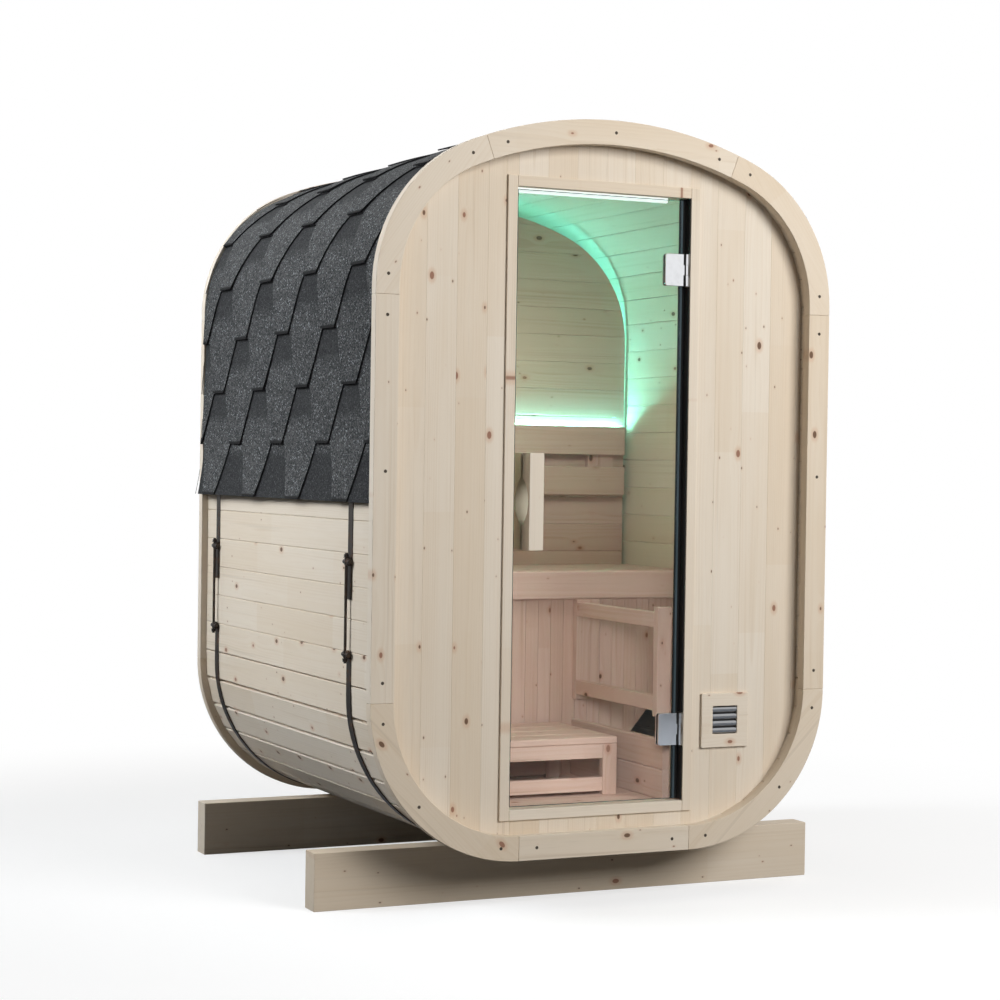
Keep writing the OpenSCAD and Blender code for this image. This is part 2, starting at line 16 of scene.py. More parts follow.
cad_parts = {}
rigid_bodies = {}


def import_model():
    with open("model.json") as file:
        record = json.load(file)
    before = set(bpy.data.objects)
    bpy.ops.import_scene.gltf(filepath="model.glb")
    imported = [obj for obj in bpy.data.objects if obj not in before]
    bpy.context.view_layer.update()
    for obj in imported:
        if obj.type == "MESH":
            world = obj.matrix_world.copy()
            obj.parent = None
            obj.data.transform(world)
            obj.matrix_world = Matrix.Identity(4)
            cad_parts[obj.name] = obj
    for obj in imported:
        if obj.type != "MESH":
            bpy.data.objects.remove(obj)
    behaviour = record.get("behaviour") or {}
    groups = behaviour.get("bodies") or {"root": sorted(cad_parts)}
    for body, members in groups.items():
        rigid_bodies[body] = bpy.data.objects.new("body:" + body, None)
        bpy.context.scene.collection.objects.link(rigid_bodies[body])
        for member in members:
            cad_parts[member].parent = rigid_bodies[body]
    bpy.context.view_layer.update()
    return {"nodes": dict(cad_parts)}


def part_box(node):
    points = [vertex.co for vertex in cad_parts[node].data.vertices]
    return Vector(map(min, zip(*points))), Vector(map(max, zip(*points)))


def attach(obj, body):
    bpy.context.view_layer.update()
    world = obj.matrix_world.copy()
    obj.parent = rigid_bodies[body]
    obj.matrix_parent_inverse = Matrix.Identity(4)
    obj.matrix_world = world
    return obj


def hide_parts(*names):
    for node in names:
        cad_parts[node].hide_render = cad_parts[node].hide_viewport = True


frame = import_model()

bl_info = {
    "name": "Outdoor Sauna Looks",
    "version": (1, 0, 0),
    "blender": (4, 5, 0),
    "location": "3D View > Sidebar > Sauna",
    "description": "Boards, rings, shingles, hoops, glass door and inner fittings of a stave barrel sauna",
    "category": "Object",
}

# The barrel's outline, as in the part's source, in metres
RING_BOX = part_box("ring_sides")
HALF_W = RING_BOX[1].x
BOTTOM_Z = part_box("ring_bottoms")[0].z
TOP_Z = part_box("ring_crowns")[1].z
UPPER_R = 0.420
LOWER_R = 0.432
CROWN_ANGLE = math.radians(22.0)
UPPER_X = HALF_W - UPPER_R
LOWER_X = HALF_W - LOWER_R
CROWN_R = UPPER_R + UPPER_X / math.sin(CROWN_ANGLE)
CROWN_Z = TOP_Z - CROWN_R
UPPER_Z = CROWN_Z + (CROWN_R - UPPER_R) * math.cos(CROWN_ANGLE)
LOWER_Z = BOTTOM_Z + LOWER_R
STAVE_OUT = 0.020
STAVE_IN = 0.060
ROOF_BASE = 0.018
ROOF_EDGE_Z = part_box("roofing")[0].z
STAVE_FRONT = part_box("side_staves")[0].y
STAVE_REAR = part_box("side_staves")[1].y
AXES = {"X": Vector((1, 0, 0)), "Y": Vector((0, 1, 0)), "Z": Vector((0, 0, 1))}
SEED = 140
OUTER = "spruce"
INNER = "inner_spruce"


def length(name, text, default):
    """A size that a user may change."""
    return bpy.props.FloatProperty(name=name, description=text, default=default, unit="LENGTH", precision=4)


def colour(name, text, default):
    """A colour that a user may change."""
    return bpy.props.FloatVectorProperty(
        name=name, description=text, default=default, subtype="COLOR", size=3, min=0.0, max=1.0
    )


class SaunaSizes(bpy.types.PropertyGroup):
    """Sizes of boards, shingles and small fittings."""

    stave_cover: length("Stave cover", "Visible width of a stave", 0.0876)
    stave_line: length("Stave line", "Height of one joint between two side staves", 0.597)
    wall_cover: length("Wall board cover", "Visible width of an end wall board", 0.088)
    lining_cover: length("Lining board cover", "Visible width of a lining board", 0.0865)
    lining_line: length("Lining line", "Height of one joint between two lining boards", 1.867)
    skirt_cover: length("Skirt board cover", "Visible width of a board under the bench", 0.042)
    deck_cover: length("Floor board cover", "Visible width of a floor board", 0.0895)
    board_gap: length("Board gap", "Gap between two boards", 0.0005)
    chamfer: length("Board chamfer", "Chamfer along a board's long edges", 0.0014)
    rounding: length("Edge rounding", "Rounding along the edges of rings, rails and slats", 0.0022)
    course: length("Shingle course", "Height of a shingle course that shows", 0.156)
    tab_pitch: length("Tab pitch", "Distance between two shingle tabs", 0.360)
    tab_foot: length("Tab foot", "Width of a tab at its lower edge", 0.098)
    tab_lean: length("Tab lean", "Lean of a tab's front edge over one course", 0.096)
    tab_back_lean: length("Tab back lean", "Lean of a tab's back edge over one course", 0.055)
    shingle: length("Shingle thickness", "Thickness of a shingle", 0.004)
    screw: length("Screw head", "Radius of a ring's screw heads", 0.0054)


class SaunaColours(bpy.types.PropertyGroup):
    """Colours of the finishes, as written in linear light."""

    spruce: colour("Spruce", "Pale outside boards", (0.78, 0.70, 0.595))
    spruce_warm: colour("Warm spruce", "Warmer streaks of the outside boards", (0.71, 0.595, 0.460))
    inner: colour("Inner spruce", "Boards inside", (0.665, 0.490, 0.425))
    inner_warm: colour("Warm inner spruce", "Warmer streaks of the boards inside", (0.59, 0.412, 0.335))
    knot: colour("Knot", "Heart of a knot", (0.10, 0.045, 0.022))
    shingle: colour("Shingle", "Pale granules", (0.104, 0.104, 0.102))
    shingle_dark: colour("Dark shingle", "Dark granules", (0.018, 0.019, 0.021))
    bitumen: colour("Bitumen", "Cut edges of the shingles", (0.006, 0.006, 0.007))
    hoop: colour("Hoop steel", "Darkened steel of hoops and tensioners", (0.050, 0.042, 0.036))
    steel: colour("Polished steel", "Hinges and louvre", (0.80, 0.81, 0.83))
    glow: colour("Light strip", "Light of the strips", (0.20, 1.0, 0.88))


class Value:
    """A socket in a shader tree that takes part in Python sums."""

    def __init__(self, finish, socket):
        self.finish = finish
        self.socket = socket

    def other(self, name):
        """Another output of the same node."""
        return Value(self.finish, self.socket.node.outputs[name])

    def sum(self, operation, first, second):
        return self.finish.node("ShaderNodeMath", {"operation": operation}, {0: first, 1: second})

    def __add__(self, other):
        return self.sum("ADD", self, other)

    def __radd__(self, other):
        return self.sum("ADD", other, self)

    def __sub__(self, other):
        return self.sum("SUBTRACT", self, other)

    def __rsub__(self, other):
        return self.sum("SUBTRACT", other, self)

    def __mul__(self, other):
        return self.sum("MULTIPLY", self, other)

    def __rmul__(self, other):
        return self.sum("MULTIPLY", other, self)

    def __truediv__(self, other):
        return self.sum("DIVIDE", self, other)

    def __pow__(self, other):
        return self.sum("POWER", self, other)

    def __rpow__(self, other):
        return self.sum("POWER", other, self)


class Finish:
    """A material under construction."""

    def __init__(self, name):
        self.material = bpy.data.materials.new(name)
        self.material.use_nodes = True
        self.tree = self.material.node_tree
        self.tree.nodes.clear()

    def node(self, kind, settings=None, sockets=None, out=0):
        """Adds a node of a kind, sets it up, feeds its sockets and gives one of its outputs."""
        made = self.tree.nodes.new(kind)
        for key, value in (settings or {}).items():
            setattr(made, key, value)
        for key, value in (sockets or {}).items():
            if isinstance(value, Value):
                self.tree.links.new(value.socket, made.inputs[key])
            else:
                made.inputs[key].default_value = value
        return Value(self, made.outputs[out])

    def attribute(self, name, out):
        return self.node("ShaderNodeAttribute", {"attribute_name": name}, out=out)

    def place(self):
        return self.node("ShaderNodeTexCoord", out="Object")

    def split(self, vector):
        made = self.node("ShaderNodeSeparateXYZ", None, {0: vector})
        return made, made.other("Y"), made.other("Z")

    def vector(self, x, y, z):
        return self.node("ShaderNodeCombineXYZ", None, {0: x, 1: y, 2: z})

    def noise(self, vector, scale, detail=2.0, rough=0.5):
        sockets = {"Vector": vector, "Scale": scale, "Detail": detail, "Roughness": rough}
        return self.node("ShaderNodeTexNoise", None, sockets)

    def smooth(self, value, low, high):
        """0 below low, 1 above high, smooth between them."""
        sockets = {0: value, 1: low, 2: high, 3: 0.0, 4: 1.0}
        return self.node("ShaderNodeMapRange", {"interpolation_type": "SMOOTHSTEP"}, sockets)

    def mix(self, factor, first, second):
        """A colour between two colours."""
        first = first if isinstance(first, Value) else (*first, 1.0)
        second = second if isinstance(second, Value) else (*second, 1.0)
        return self.node("ShaderNodeMix", {"data_type": "RGBA"}, {0: factor, 6: first, 7: second}, out=2)

    def bump(self, height, distance, strength):
        sockets = {"Height": height, "Distance": distance, "Strength": strength}
        return self.node("ShaderNodeBump", None, sockets)

    def surface(self, sockets):
        """A Principled surface."""
        return self.node("ShaderNodeBsdfPrincipled", None, sockets)

    def done(self, surface):
        """Ends the material with its surface."""
        made = self.tree.nodes.new("ShaderNodeOutputMaterial")
        self.tree.links.new(surface.socket, made.inputs[0])
        return self.material


RING_GAP = 0.0056
RING_STRENGTH = {OUTER: 0.17, INNER: 0.34}
GLUED_LENGTH = 0.62
LIGHT_STRENGTH = 165.0
EDGE_SHARE = 0.15
EDGE_START = 0.3500
DIODE_GAP = 0.010
# Share of the steel colour kept on the vent slats: painted shade for the vent's recess
PAINTED_SHADE_SHARE = 0.45
SHADE_BORDER_WIDTH = 0.0075
MADE = {}


def knots(f, along, across, spacing, least, biggest):
    """Knots scattered over a board: heart, halo, swirl of the grain round them and a random tone."""
    cells = f.node(
        "ShaderNodeTexVoronoi",
        {"voronoi_dimensions": "2D"},
        {"Vector": f.vector(along * 0.60, across, 0.0), "Scale": 1.0 / spacing, "Randomness": 0.95},
        out="Distance",
    )
    away = cells * spacing
    pick = f.node("ShaderNodeSeparateColor", None, {0: cells.other("Color")})
    size = f.smooth(pick, least, 1.0) * biggest
    there = f.smooth(size, 0.0, biggest * 0.4)
    heart = (1.0 - f.smooth(away - size, -0.0015, 0.0005)) * there
    halo = (1.0 - f.smooth(away - size, 0.0, biggest * 1.5)) * there
    swirl = (2.718 ** (away * -60.0)) * there
    return heart, halo, swirl, pick.other("Green")


def wood_finish(name, pale, warm, knot):
    """Planed spruce: growth rings that follow each board, glued lengths, streaks and small knots."""
    f = Finish(name)
    strength = RING_STRENGTH[name]
    along, across, deep = f.split(f.attribute("grain", "Vector"))
    board = f.attribute("board", "Fac")
    glued = f.node("ShaderNodeMath", {"operation": "FLOOR"}, {0: along / GLUED_LENGTH + board * 7.0})
    spot = f.vector(glued, board * 91.0, 0.0)
    block = f.node("ShaderNodeTexWhiteNoise", {"noise_dimensions": "2D"}, {"Vector": spot})
    drift = f.noise(f.vector(along * 0.8, across * 4.0, deep * 4.0), 1.0, 2.0) - 0.5
    wobble = f.noise(f.vector(along * 2.4, across * 34.0, deep * 34.0), 1.0, 2.0) - 0.5
    heart, halo, swirl, redness = knots(f, along, across, 0.135, 0.52, 0.0068)
    pin, pin_halo, _, pin_redness = knots(f, along + 3.0, across, 0.060, 0.66, 0.0026)
    radius = (across * across + deep * deep) ** 0.5 + drift * 0.020 + wobble * 0.0026 + swirl * 0.006
    phase = f.node("ShaderNodeMath", {"operation": "FRACT"}, {0: radius / RING_GAP})
    late = f.smooth(phase, 0.20, 0.90) * (1.0 - f.smooth(phase, 0.92, 1.0))
    fibre = f.noise(f.vector(along * 9.0, across * 330.0, deep * 330.0), 1.0, 3.0, 0.6)
    cloud = f.noise(f.vector(along * 1.7, across * 11.0, deep * 11.0), 1.0, 3.0, 0.55)
    streak = f.noise(f.vector(along * 0.9, across * 60.0, deep * 60.0), 1.0, 3.0, 0.6)
    bold = f.smooth(streak, 0.44, 0.72)
    tone = f.smooth(board * 0.32 + block * 0.30 + cloud * 0.60, 0.20, 1.05)
    bare = f.mix(tone, pale, warm)
    dim = tuple(c * k for c, k in zip(warm, (0.80, 0.70, 0.56)))
    ringed = f.mix(late * (0.30 + 1.0 * bold) * strength, bare, dim)
    fibred = f.mix(f.smooth(fibre, 0.52, 0.80) * 0.14, ringed, tuple(c * 0.62 for c in warm))
    streaked = f.mix(f.smooth(streak, 0.60, 0.76) * strength * 1.3, fibred, tuple(c * 0.60 for c in warm))
    blush = (warm[0] * 0.84, warm[1] * 0.62, warm[2] * 0.52)
    blushed = f.mix(halo * 0.45 + pin_halo * 0.20, streaked, blush)
    red = (0.27, 0.125, 0.080)
    knotted = f.mix(heart * 0.88, blushed, f.mix(f.smooth(redness, 0.35, 0.75), knot, red))
    final = f.mix(pin * 0.80, knotted, f.mix(f.smooth(pin_redness, 0.3, 0.8), knot, red))
    height = fibre * 0.35 + late * 0.25 - heart * 0.5
    return f.done(f.surface({
        "Base Color": final,
        "Roughness": 0.50 + fibre * 0.16 + late * 0.05,
        "Normal": f.bump(height, 0.0006, 0.40),
        "Specular IOR Level": 0.35,
    }))


def shingle_finish(name, pale, dark):
    """Mineral granules, with a dark band across the part that shows between the tabs above, and painted
    shade along each tab's lower edge.
    """
    f = Finish(name)
    _, up, spare = f.split(f.attribute("lay", "Vector"))
    place = f.place()
    grains = f.node("ShaderNodeTexVoronoi", None, {"Vector": place, "Scale": 300.0}, out="Distance")
    grain = f.node("ShaderNodeSeparateColor", None, {0: grains.other("Color")})
    patch = f.noise(place, 26.0, 3.0, 0.6)
    tone = f.smooth(grain * 1.10 + patch * 0.40 + spare * 0.12, 0.50, 1.20)
    speckled = f.mix(tone, dark, pale)
    ragged = up + (f.noise(place, 90.0, 2.0) - 0.5) * 0.012
    band = f.smooth(ragged, 0.205, 0.250)
    banded = f.mix(band * 0.62, speckled, tuple(c * 0.80 for c in dark))
    # Painted shade: each tab darkens towards its lower edge, standing in for the shadow under the tab and
    # its cut edge
    rim = 1.0 - f.smooth(up, 0.005, 0.011)
    final = f.mix(rim * 0.90, banded, tuple(c * 0.25 for c in dark))
    spark = f.smooth(grain, 0.930, 0.970) * (1.0 - band * 0.8) * (1.0 - rim) * 0.75
    bright = f.mix(spark, final, (0.34, 0.36, 0.37))
    return f.done(f.surface({
        "Base Color": bright,
        "Roughness": 0.80 + grain * 0.15,
        "Normal": f.bump(grain - grains * 0.8, 0.0011, 0.65),
        "Specular IOR Level": 0.30,
    }))


def bitumen_finish(name, tone):
    """Black cut edges with a few torn fibres."""
    f = Finish(name)
    torn = f.noise(f.place(), 240.0, 3.0, 0.6)
    return f.done(f.surface({
        "Base Color": f.mix(f.smooth(torn, 0.45, 0.75), tone, tuple(c * 3.2 for c in tone)),
        "Roughness": 0.72 + torn * 0.2,
        "Normal": f.bump(torn, 0.0008, 0.5),
    }))


def hoop_finish(name, tone):
    """Rolled steel that has browned in patches."""
    f = Finish(name)
    place = f.place()
    bloom = f.noise(place, 38.0, 4.0, 0.62)
    fine = f.noise(place, 420.0, 2.0)
    rust = f.smooth(bloom, 0.50, 0.72)
    return f.done(f.surface({
        "Base Color": f.mix(rust, tone, (0.125, 0.070, 0.040)),
        "Roughness": 0.34 + rust * 0.26 + fine * 0.12,
        "Metallic": 0.85 - rust * 0.45,
        "Normal": f.bump(fine + bloom, 0.0004, 0.35),
    }))


def steel_finish(name, tone):
    """Polished steel with faint handling marks."""
    f = Finish(name)
    place = f.place()
    marks = f.noise(place, 65.0, 3.0, 0.6)
    return f.done(f.surface({
        "Base Color": f.mix(f.smooth(marks, 0.4, 0.8) * 0.2, tone, tuple(c * 0.8 for c in tone)),
        "Roughness": 0.10 + f.smooth(marks, 0.45, 0.85) * 0.12,
        "Metallic": 1.0,
    }))


def painted_shade_steel_finish(name, tone):
    """Polished steel darkened as painted shade, standing in for the shade inside the vent."""
    return steel_finish(name, tuple(PAINTED_SHADE_SHARE * c for c in tone))


def mottled_finish(name, scale, detail, first, second, rough, swing, more=None):
    """A surface whose tone and roughness drift with one noise."""
    f = Finish(name)
    drift = f.noise(f.place(), scale, detail)
    sockets = {"Base Color": f.mix(drift, first, second), "Roughness": rough + drift * swing}
    sockets.update(more or {})
    return f.done(f.surface(sockets))


def screw_finish(name):
    """Dark driven screw heads."""
    return mottled_finish(
        name, 700.0, 2.0, (0.040, 0.032, 0.026), (0.16, 0.13, 0.10), 0.40, 0.25, {"Metallic": 0.7}
    )


def glass_finish(name):
    """Clear toughened glass that lets lamp light through, with reflections at a slant, and a dark band of
    painted shade along its hinge edge.
    """
    f = Finish(name)
    haze = f.noise(f.place(), 7.0, 3.0, 0.6)
    clear = f.node("ShaderNodeBsdfTransparent", None, {"Color": (0.925, 0.940, 0.935, 1.0)})
    gloss = f.surface({
        "Base Color": (0.55, 0.62, 0.62, 1.0),
        "Roughness": 0.02 + haze * 0.03,
        "Metallic": 0.6,
    })
    facing = f.node("ShaderNodeFresnel", None, {"IOR": 1.45})
    share = facing * 0.5 + haze * 0.01
    pane = f.node("ShaderNodeMixShader", None, {0: share, 1: clear, 2: gloss})
    x = f.split(f.place())[0]
    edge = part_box("door_glass")[1].x
    # Painted shade: a dark band along the hinge edge stands in for the dark cut edge seen through the pane
    # and the shade in the gap behind it
    painted_edge_shade = f.smooth(x, edge - SHADE_BORDER_WIDTH, edge - SHADE_BORDER_WIDTH + 0.0015)
    dark = f.surface({
        "Base Color": f.mix(haze, (0.030, 0.046, 0.056), (0.090, 0.125, 0.145)),
        "Roughness": 0.30,
        "Specular IOR Level": 0.12,
    })
    return f.done(f.node("ShaderNodeMixShader", None, {0: painted_edge_shade * 0.82, 1: pane, 2: dark}))


def glass_edge_finish(name):
    """The deep blue-green that shows in the cut edge of a glass pane."""
    return mottled_finish(
        name, 18.0, 3.0, (0.012, 0.030, 0.034), (0.060, 0.115, 0.120), 0.10, 0.08,
        {"Specular IOR Level": 0.8},
    )


def black_rubber_and_shade_finish(name):
    """Black sealing profile, also used as painted shade behind the vent slats and beside the hinge pins."""
    return mottled_finish(name, 120.0, 3.0, (0.006, 0.006, 0.007), (0.022, 0.021, 0.020), 0.55, 0.2)


def glowing_seal_finish(name):
    """White sealing strip, with a painted glow in its emission though it is no lamp."""
    f = Finish(name)
    dust_and_glow = f.noise(f.place(), 150.0, 3.0)
    return f.done(f.surface({
        "Base Color": f.mix(dust_and_glow, (0.86, 0.88, 0.88), (0.78, 0.80, 0.80)),
        "Roughness": 0.40 + dust_and_glow * 0.15,
        # Painted glow: the seal emits light so it reads bright, though it is no lamp
        "Emission Color": f.mix(dust_and_glow, (0.92, 1.0, 0.98), (0.85, 0.96, 0.93)),
        "Emission Strength": 0.80,
    }))


def light_finish(name, glow):
    """Milky light strip with a row of diodes behind it."""
    f = Finish(name)
    x, y, z = f.split(f.place())
    diode = f.node("ShaderNodeMath", {"operation": "PINGPONG"}, {0: x + z, 1: DIODE_GAP})
    spot = 1.0 - f.smooth(diode, 0.001, 0.009)
    pale = tuple(0.45 + 0.55 * c for c in glow)
    edge = f.smooth(y, EDGE_START, EDGE_START + 0.0010)
    lit = f.mix(spot * 0.25, glow, pale)
    return f.done(f.surface({
        "Base Color": f.mix(spot, tuple(0.6 * c for c in glow), glow),
        "Roughness": 0.35 + spot * 0.1,
        "Emission Color": f.mix(edge, lit, tuple(c * EDGE_SHARE for c in glow)),
        "Emission Strength": LIGHT_STRENGTH,
    }))


FINISHES = {
    "spruce": (wood_finish, ("spruce", "spruce_warm", "knot")),
    "inner_spruce": (wood_finish, ("inner", "inner_warm", "knot")),
    "shingle": (shingle_finish, ("shingle", "shingle_dark")),
    "bitumen": (bitumen_finish, ("bitumen",)),
    "hoop_steel": (hoop_finish, ("hoop",)),
    "polished_steel": (steel_finish, ("steel",)),
    "dark_steel": (painted_shade_steel_finish, ("steel",)),
    "screw": (screw_finish, ()),
    "glass": (glass_finish, ()),
    "glass_edge": (glass_edge_finish, ()),
    "seal": (glowing_seal_finish, ()),
    "rubber": (black_rubber_and_shade_finish, ()),
    "light_strip": (light_finish, ("glow",)),
}


def finish_of(name):
    """The material of a name, made when it is first asked for."""
    if name not in MADE:
        maker, tones = FINISHES[name]
        colours = bpy.context.scene.sauna_colours
        MADE[name] = maker(name, *(tuple(getattr(colours, tone)) for tone in tones))
    return MADE[name]


def take(*objects):
    """Leaves only these objects selected, the first one active."""
    bpy.ops.object.select_all(action="DESELECT")
    for obj in objects:
        obj.select_set(True)
    bpy.context.view_layer.objects.active = objects[0]
    return objects[0]


SHARP_ANGLE = math.radians(28.0)
FLAT_ANGLE = math.radians(0.4)
WELD = 0.00002
LEAST_BOARD = 0.004
BOARD_SKIN = 0.00005
BOARD_OVERRUN = 0.01


@contextmanager
def edit_mode():
    """Edit mode on the active object, for a block of steps."""
    bpy.ops.object.mode_set(mode="EDIT")
    yield
    bpy.ops.object.mode_set(mode="OBJECT")


def add_block(low, high, name="block"):
    """A box between two corners, with its place in its mesh."""
    low = Vector(low)
    high = Vector(high)
    bpy.ops.object.select_all(action="DESELECT")
    bpy.ops.mesh.primitive_cube_add(size=1.0, location=(low + high) / 2.0, scale=high - low)
    obj = bpy.context.object
    obj.name = name
    bpy.ops.object.transform_apply(location=True, rotation=True, scale=True)
    return obj


def add_rod(start, axis, depth, radius, sides):
    """A round bar from a point along an axis."""
    direction = AXES[axis]
    turn = direction.to_track_quat("Z", "Y").to_euler()
    middle = Vector(start) + direction * (depth / 2.0)
    bpy.ops.object.select_all(action="DESELECT")
    bpy.ops.mesh.primitive_cylinder_add(
        vertices=sides, radius=radius, depth=depth, location=middle, rotation=turn
    )
    obj = bpy.context.object
    bpy.ops.object.transform_apply(location=True, rotation=True, scale=True)
    return obj


def modify(obj, kind, **settings):
    """Adds a modifier, sets it up and applies it."""
    take(obj)
    made = obj.modifiers.new(kind.lower(), kind)
    for key, value in settings.items():
        setattr(made, key, value)
    bpy.ops.object.modifier_apply(modifier=made.name)
    return obj


def round_edges(obj, width, segments=2):
    """Rounds every sharp edge."""
    return modify(
        obj, "BEVEL", width=width, segments=segments, limit_method="ANGLE", angle_limit=SHARP_ANGLE,
        use_clamp_overlap=True, miter_outer="MITER_SHARP",
    )


def merged_copy(node, name):
    """A copy of a CAD node, with its loose triangles merged into faces."""
    obj = bpy.data.objects.new(name, frame["nodes"][node].data.copy())
    bpy.context.scene.collection.objects.link(obj)
    obj.data.materials.clear()
    for layer in list(obj.data.uv_layers):
        obj.data.uv_layers.remove(layer)
    take(obj)
    with edit_mode():
        bpy.ops.mesh.select_all(action="SELECT")
        bpy.ops.mesh.remove_doubles(threshold=WELD)
        bpy.ops.mesh.dissolve_degenerate(threshold=WELD)
        bpy.ops.mesh.dissolve_limited(angle_limit=FLAT_ANGLE)
    if obj.data.has_custom_normals:
        bpy.ops.mesh.customdata_custom_splitnormals_clear()
    return obj


def joined(objects, name):
    """Several objects as one piece."""
    obj = take(*objects)
    if len(objects) > 1:
        bpy.ops.object.join()
    obj.name = name
    obj.data.name = name
    return obj


def islands_of(mesh):
    """For each vertex, the lowest index of a vertex that it hangs together with."""
    edges = np.empty(len(mesh.edges) * 2, np.int32)
    mesh.edges.foreach_get("vertices", edges)
    first, second = edges[0::2], edges[1::2]
    label = np.arange(len(mesh.vertices))
    while True:
        low = np.minimum(label[first], label[second])
        after = label.copy()
        np.minimum.at(after, first, low)
        np.minimum.at(after, second, low)
        after = after[after]
        if np.array_equal(after, label):
            return label
        label = after


def lay_grain(obj, along=None):
    """Gives every board of a piece its own grain frame: along, across and through the board, in metres."""
    mesh = obj.data
    count = len(mesh.vertices)
    points = np.empty(count * 3)
    mesh.vertices.foreach_get("co", points)
    points = points.reshape(-1, 3)
    grain = np.zeros((count, 3))
    board = np.zeros(count)
    draw = random.Random(SEED + sum(ord(c) for c in obj.name))
    label = islands_of(mesh)
    for start in np.unique(label):
        own = label == start
        local = points[own] - (points[own].max(0) + points[own].min(0)) / 2.0
        if along is None:
            spread = np.linalg.eigh(local.T @ local)[1]
            run = spread[:, 2]
        else:
            run = np.array(AXES[along])
        flat = local - np.outer(local @ run, run)
        width = np.linalg.eigh(flat.T @ flat)[1][:, 2]
        through = np.cross(run, width)
        pith = (draw.uniform(0.0, 60.0), draw.uniform(-0.030, 0.030), draw.uniform(0.028, 0.075))
        grain[own] = np.stack((local @ run, local @ width, local @ through), 1) + pith
        board[own] = draw.random()
    mesh.attributes.new("grain", "FLOAT_VECTOR", "POINT").data.foreach_set("vector", grain.ravel())
    mesh.attributes.new("board", "FLOAT", "POINT").data.foreach_set("value", board)
    return obj


def finish_piece(obj, finishes, nodes=(), body="barrel", angle=30.0):
    """Gives a piece its materials and shading, ties it to its body and hides the CAD nodes it stands for."""
    if not obj.data.materials:
        for name in finishes:
            obj.data.materials.append(finish_of(name))
    take(obj)
    bpy.ops.object.shade_smooth_by_angle(angle=math.radians(angle))
    modify(obj, "WEIGHTED_NORMAL", keep_sharp=True, weight=80)
    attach(obj, body)
    if nodes:
        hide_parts(*nodes)
    return obj


def add_board(size, chamfer, name="board"):
    """A board with chamfered long edges about the origin: long along X, wide along Y, thick along Z."""
    obj = add_block([-s / 2.0 for s in size], [s / 2.0 for s in size], name)
    for edge in obj.data.edges:
        first, second = (obj.data.vertices[i].co for i in edge.vertices)
        edge.select = abs(first.x - second.x) > size[0] / 2.0
    for face in obj.data.polygons:
        face.select = False
    with edit_mode():
        bpy.ops.mesh.select_mode(type="EDGE")
        bpy.ops.mesh.bevel(offset=chamfer, segments=1, affect="EDGES")
    return obj


def put(obj, matrix):
    """Moves a piece by a matrix, and keeps its place in its mesh."""
    obj.matrix_world = matrix
    take(obj)
    bpy.ops.object.transform_apply(location=True, rotation=True, scale=True)
    return obj


def own_copy(obj):
    """A copy with a mesh of its own."""
    twin = obj.copy()
    twin.data = obj.data.copy()
    bpy.context.scene.collection.objects.link(twin)
    return twin


def board_row(low, high, along, across, cover, line, gap, chamfer, name):
    """Boards side by side that fill a box. One joint lies at line, counted on the across axis."""
    low = Vector(low)
    high = Vector(high)
    run = AXES[along]
    side = AXES[across]
    thick = run.cross(side)
    depth = abs((high - low).dot(thick))
    first = math.floor((low.dot(side) - line) / cover)
    last = math.ceil((high.dot(side) - line) / cover)
    made = []
    model = add_board(((high - low).dot(run), cover - gap, depth), chamfer, name)
    middle = (low + high) / 2.0
    turn = Matrix((run, side, thick)).transposed().to_4x4()
    for step in range(first, last):
        start = max(line + step * cover, low.dot(side))
        end = min(line + (step + 1) * cover, high.dot(side))
        if end - start < LEAST_BOARD:
            continue
        if end - start > cover - 0.0005:
            twin = own_copy(model)
        else:
            twin = add_board(((high - low).dot(run), end - start - gap, depth), chamfer, name)
        spot = middle + side * ((start + end) / 2.0 - middle.dot(side))
        made.append(put(twin, Matrix.Translation(spot) @ turn))
    bpy.data.objects.remove(model)
    return joined(made, name)


def cut_to(obj, node):
    """Keeps what lies inside a CAD node."""
    cutter = merged_copy(node, "cutter")
    modify(obj, "BOOLEAN", operation="INTERSECT", solver="EXACT", object=cutter)
    bpy.data.objects.remove(cutter)
    return obj


def boarded(node, name, along, across, cover, line, wood, gap, chamfer):
    """A CAD panel made of boards: a row of chamfered boards, cut to the panel's outline."""
    low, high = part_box(node)
    thick = AXES[along].cross(AXES[across])
    shrink = Vector([abs(c) for c in thick]) * BOARD_SKIN
    grow = AXES[along] * BOARD_OVERRUN
    row = board_row(
        low + shrink - grow, high - shrink + grow, along, across, cover, line, gap, chamfer, name
    )
    cut_to(row, node)
    lay_grain(row, along)
    return finish_piece(row, [wood], [node])


def plain_boards(node, name, along, across, cover, gap, chamfer):
    """A rectangular CAD panel inside, made of whole boards."""
    low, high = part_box(node)
    span = (high - low).dot(AXES[across])
    cover = span / max(1, round(span / cover))
    row = board_row(low, high, along, across, cover, low.dot(AXES[across]), gap, chamfer, name)
    lay_grain(row, along)
    return finish_piece(row, [INNER], [node])


def timbers(node, name, blocks, width):
    """Planed timbers inside with rounded edges, one for each block."""
    made = [add_block(low, high) for low, high in blocks]
    obj = joined(made, name)
    round_edges(obj, width)
    lay_grain(obj)
    return finish_piece(obj, [INNER], [node])


def rounded_node(node, name, wood, width, body="barrel", along=None, segments=2):
    """A CAD node with rounded edges and its own grain."""
    obj = merged_copy(node, name)
    round_edges(obj, width, segments)
    lay_grain(obj, along)
    return finish_piece(obj, [wood], [node], body)


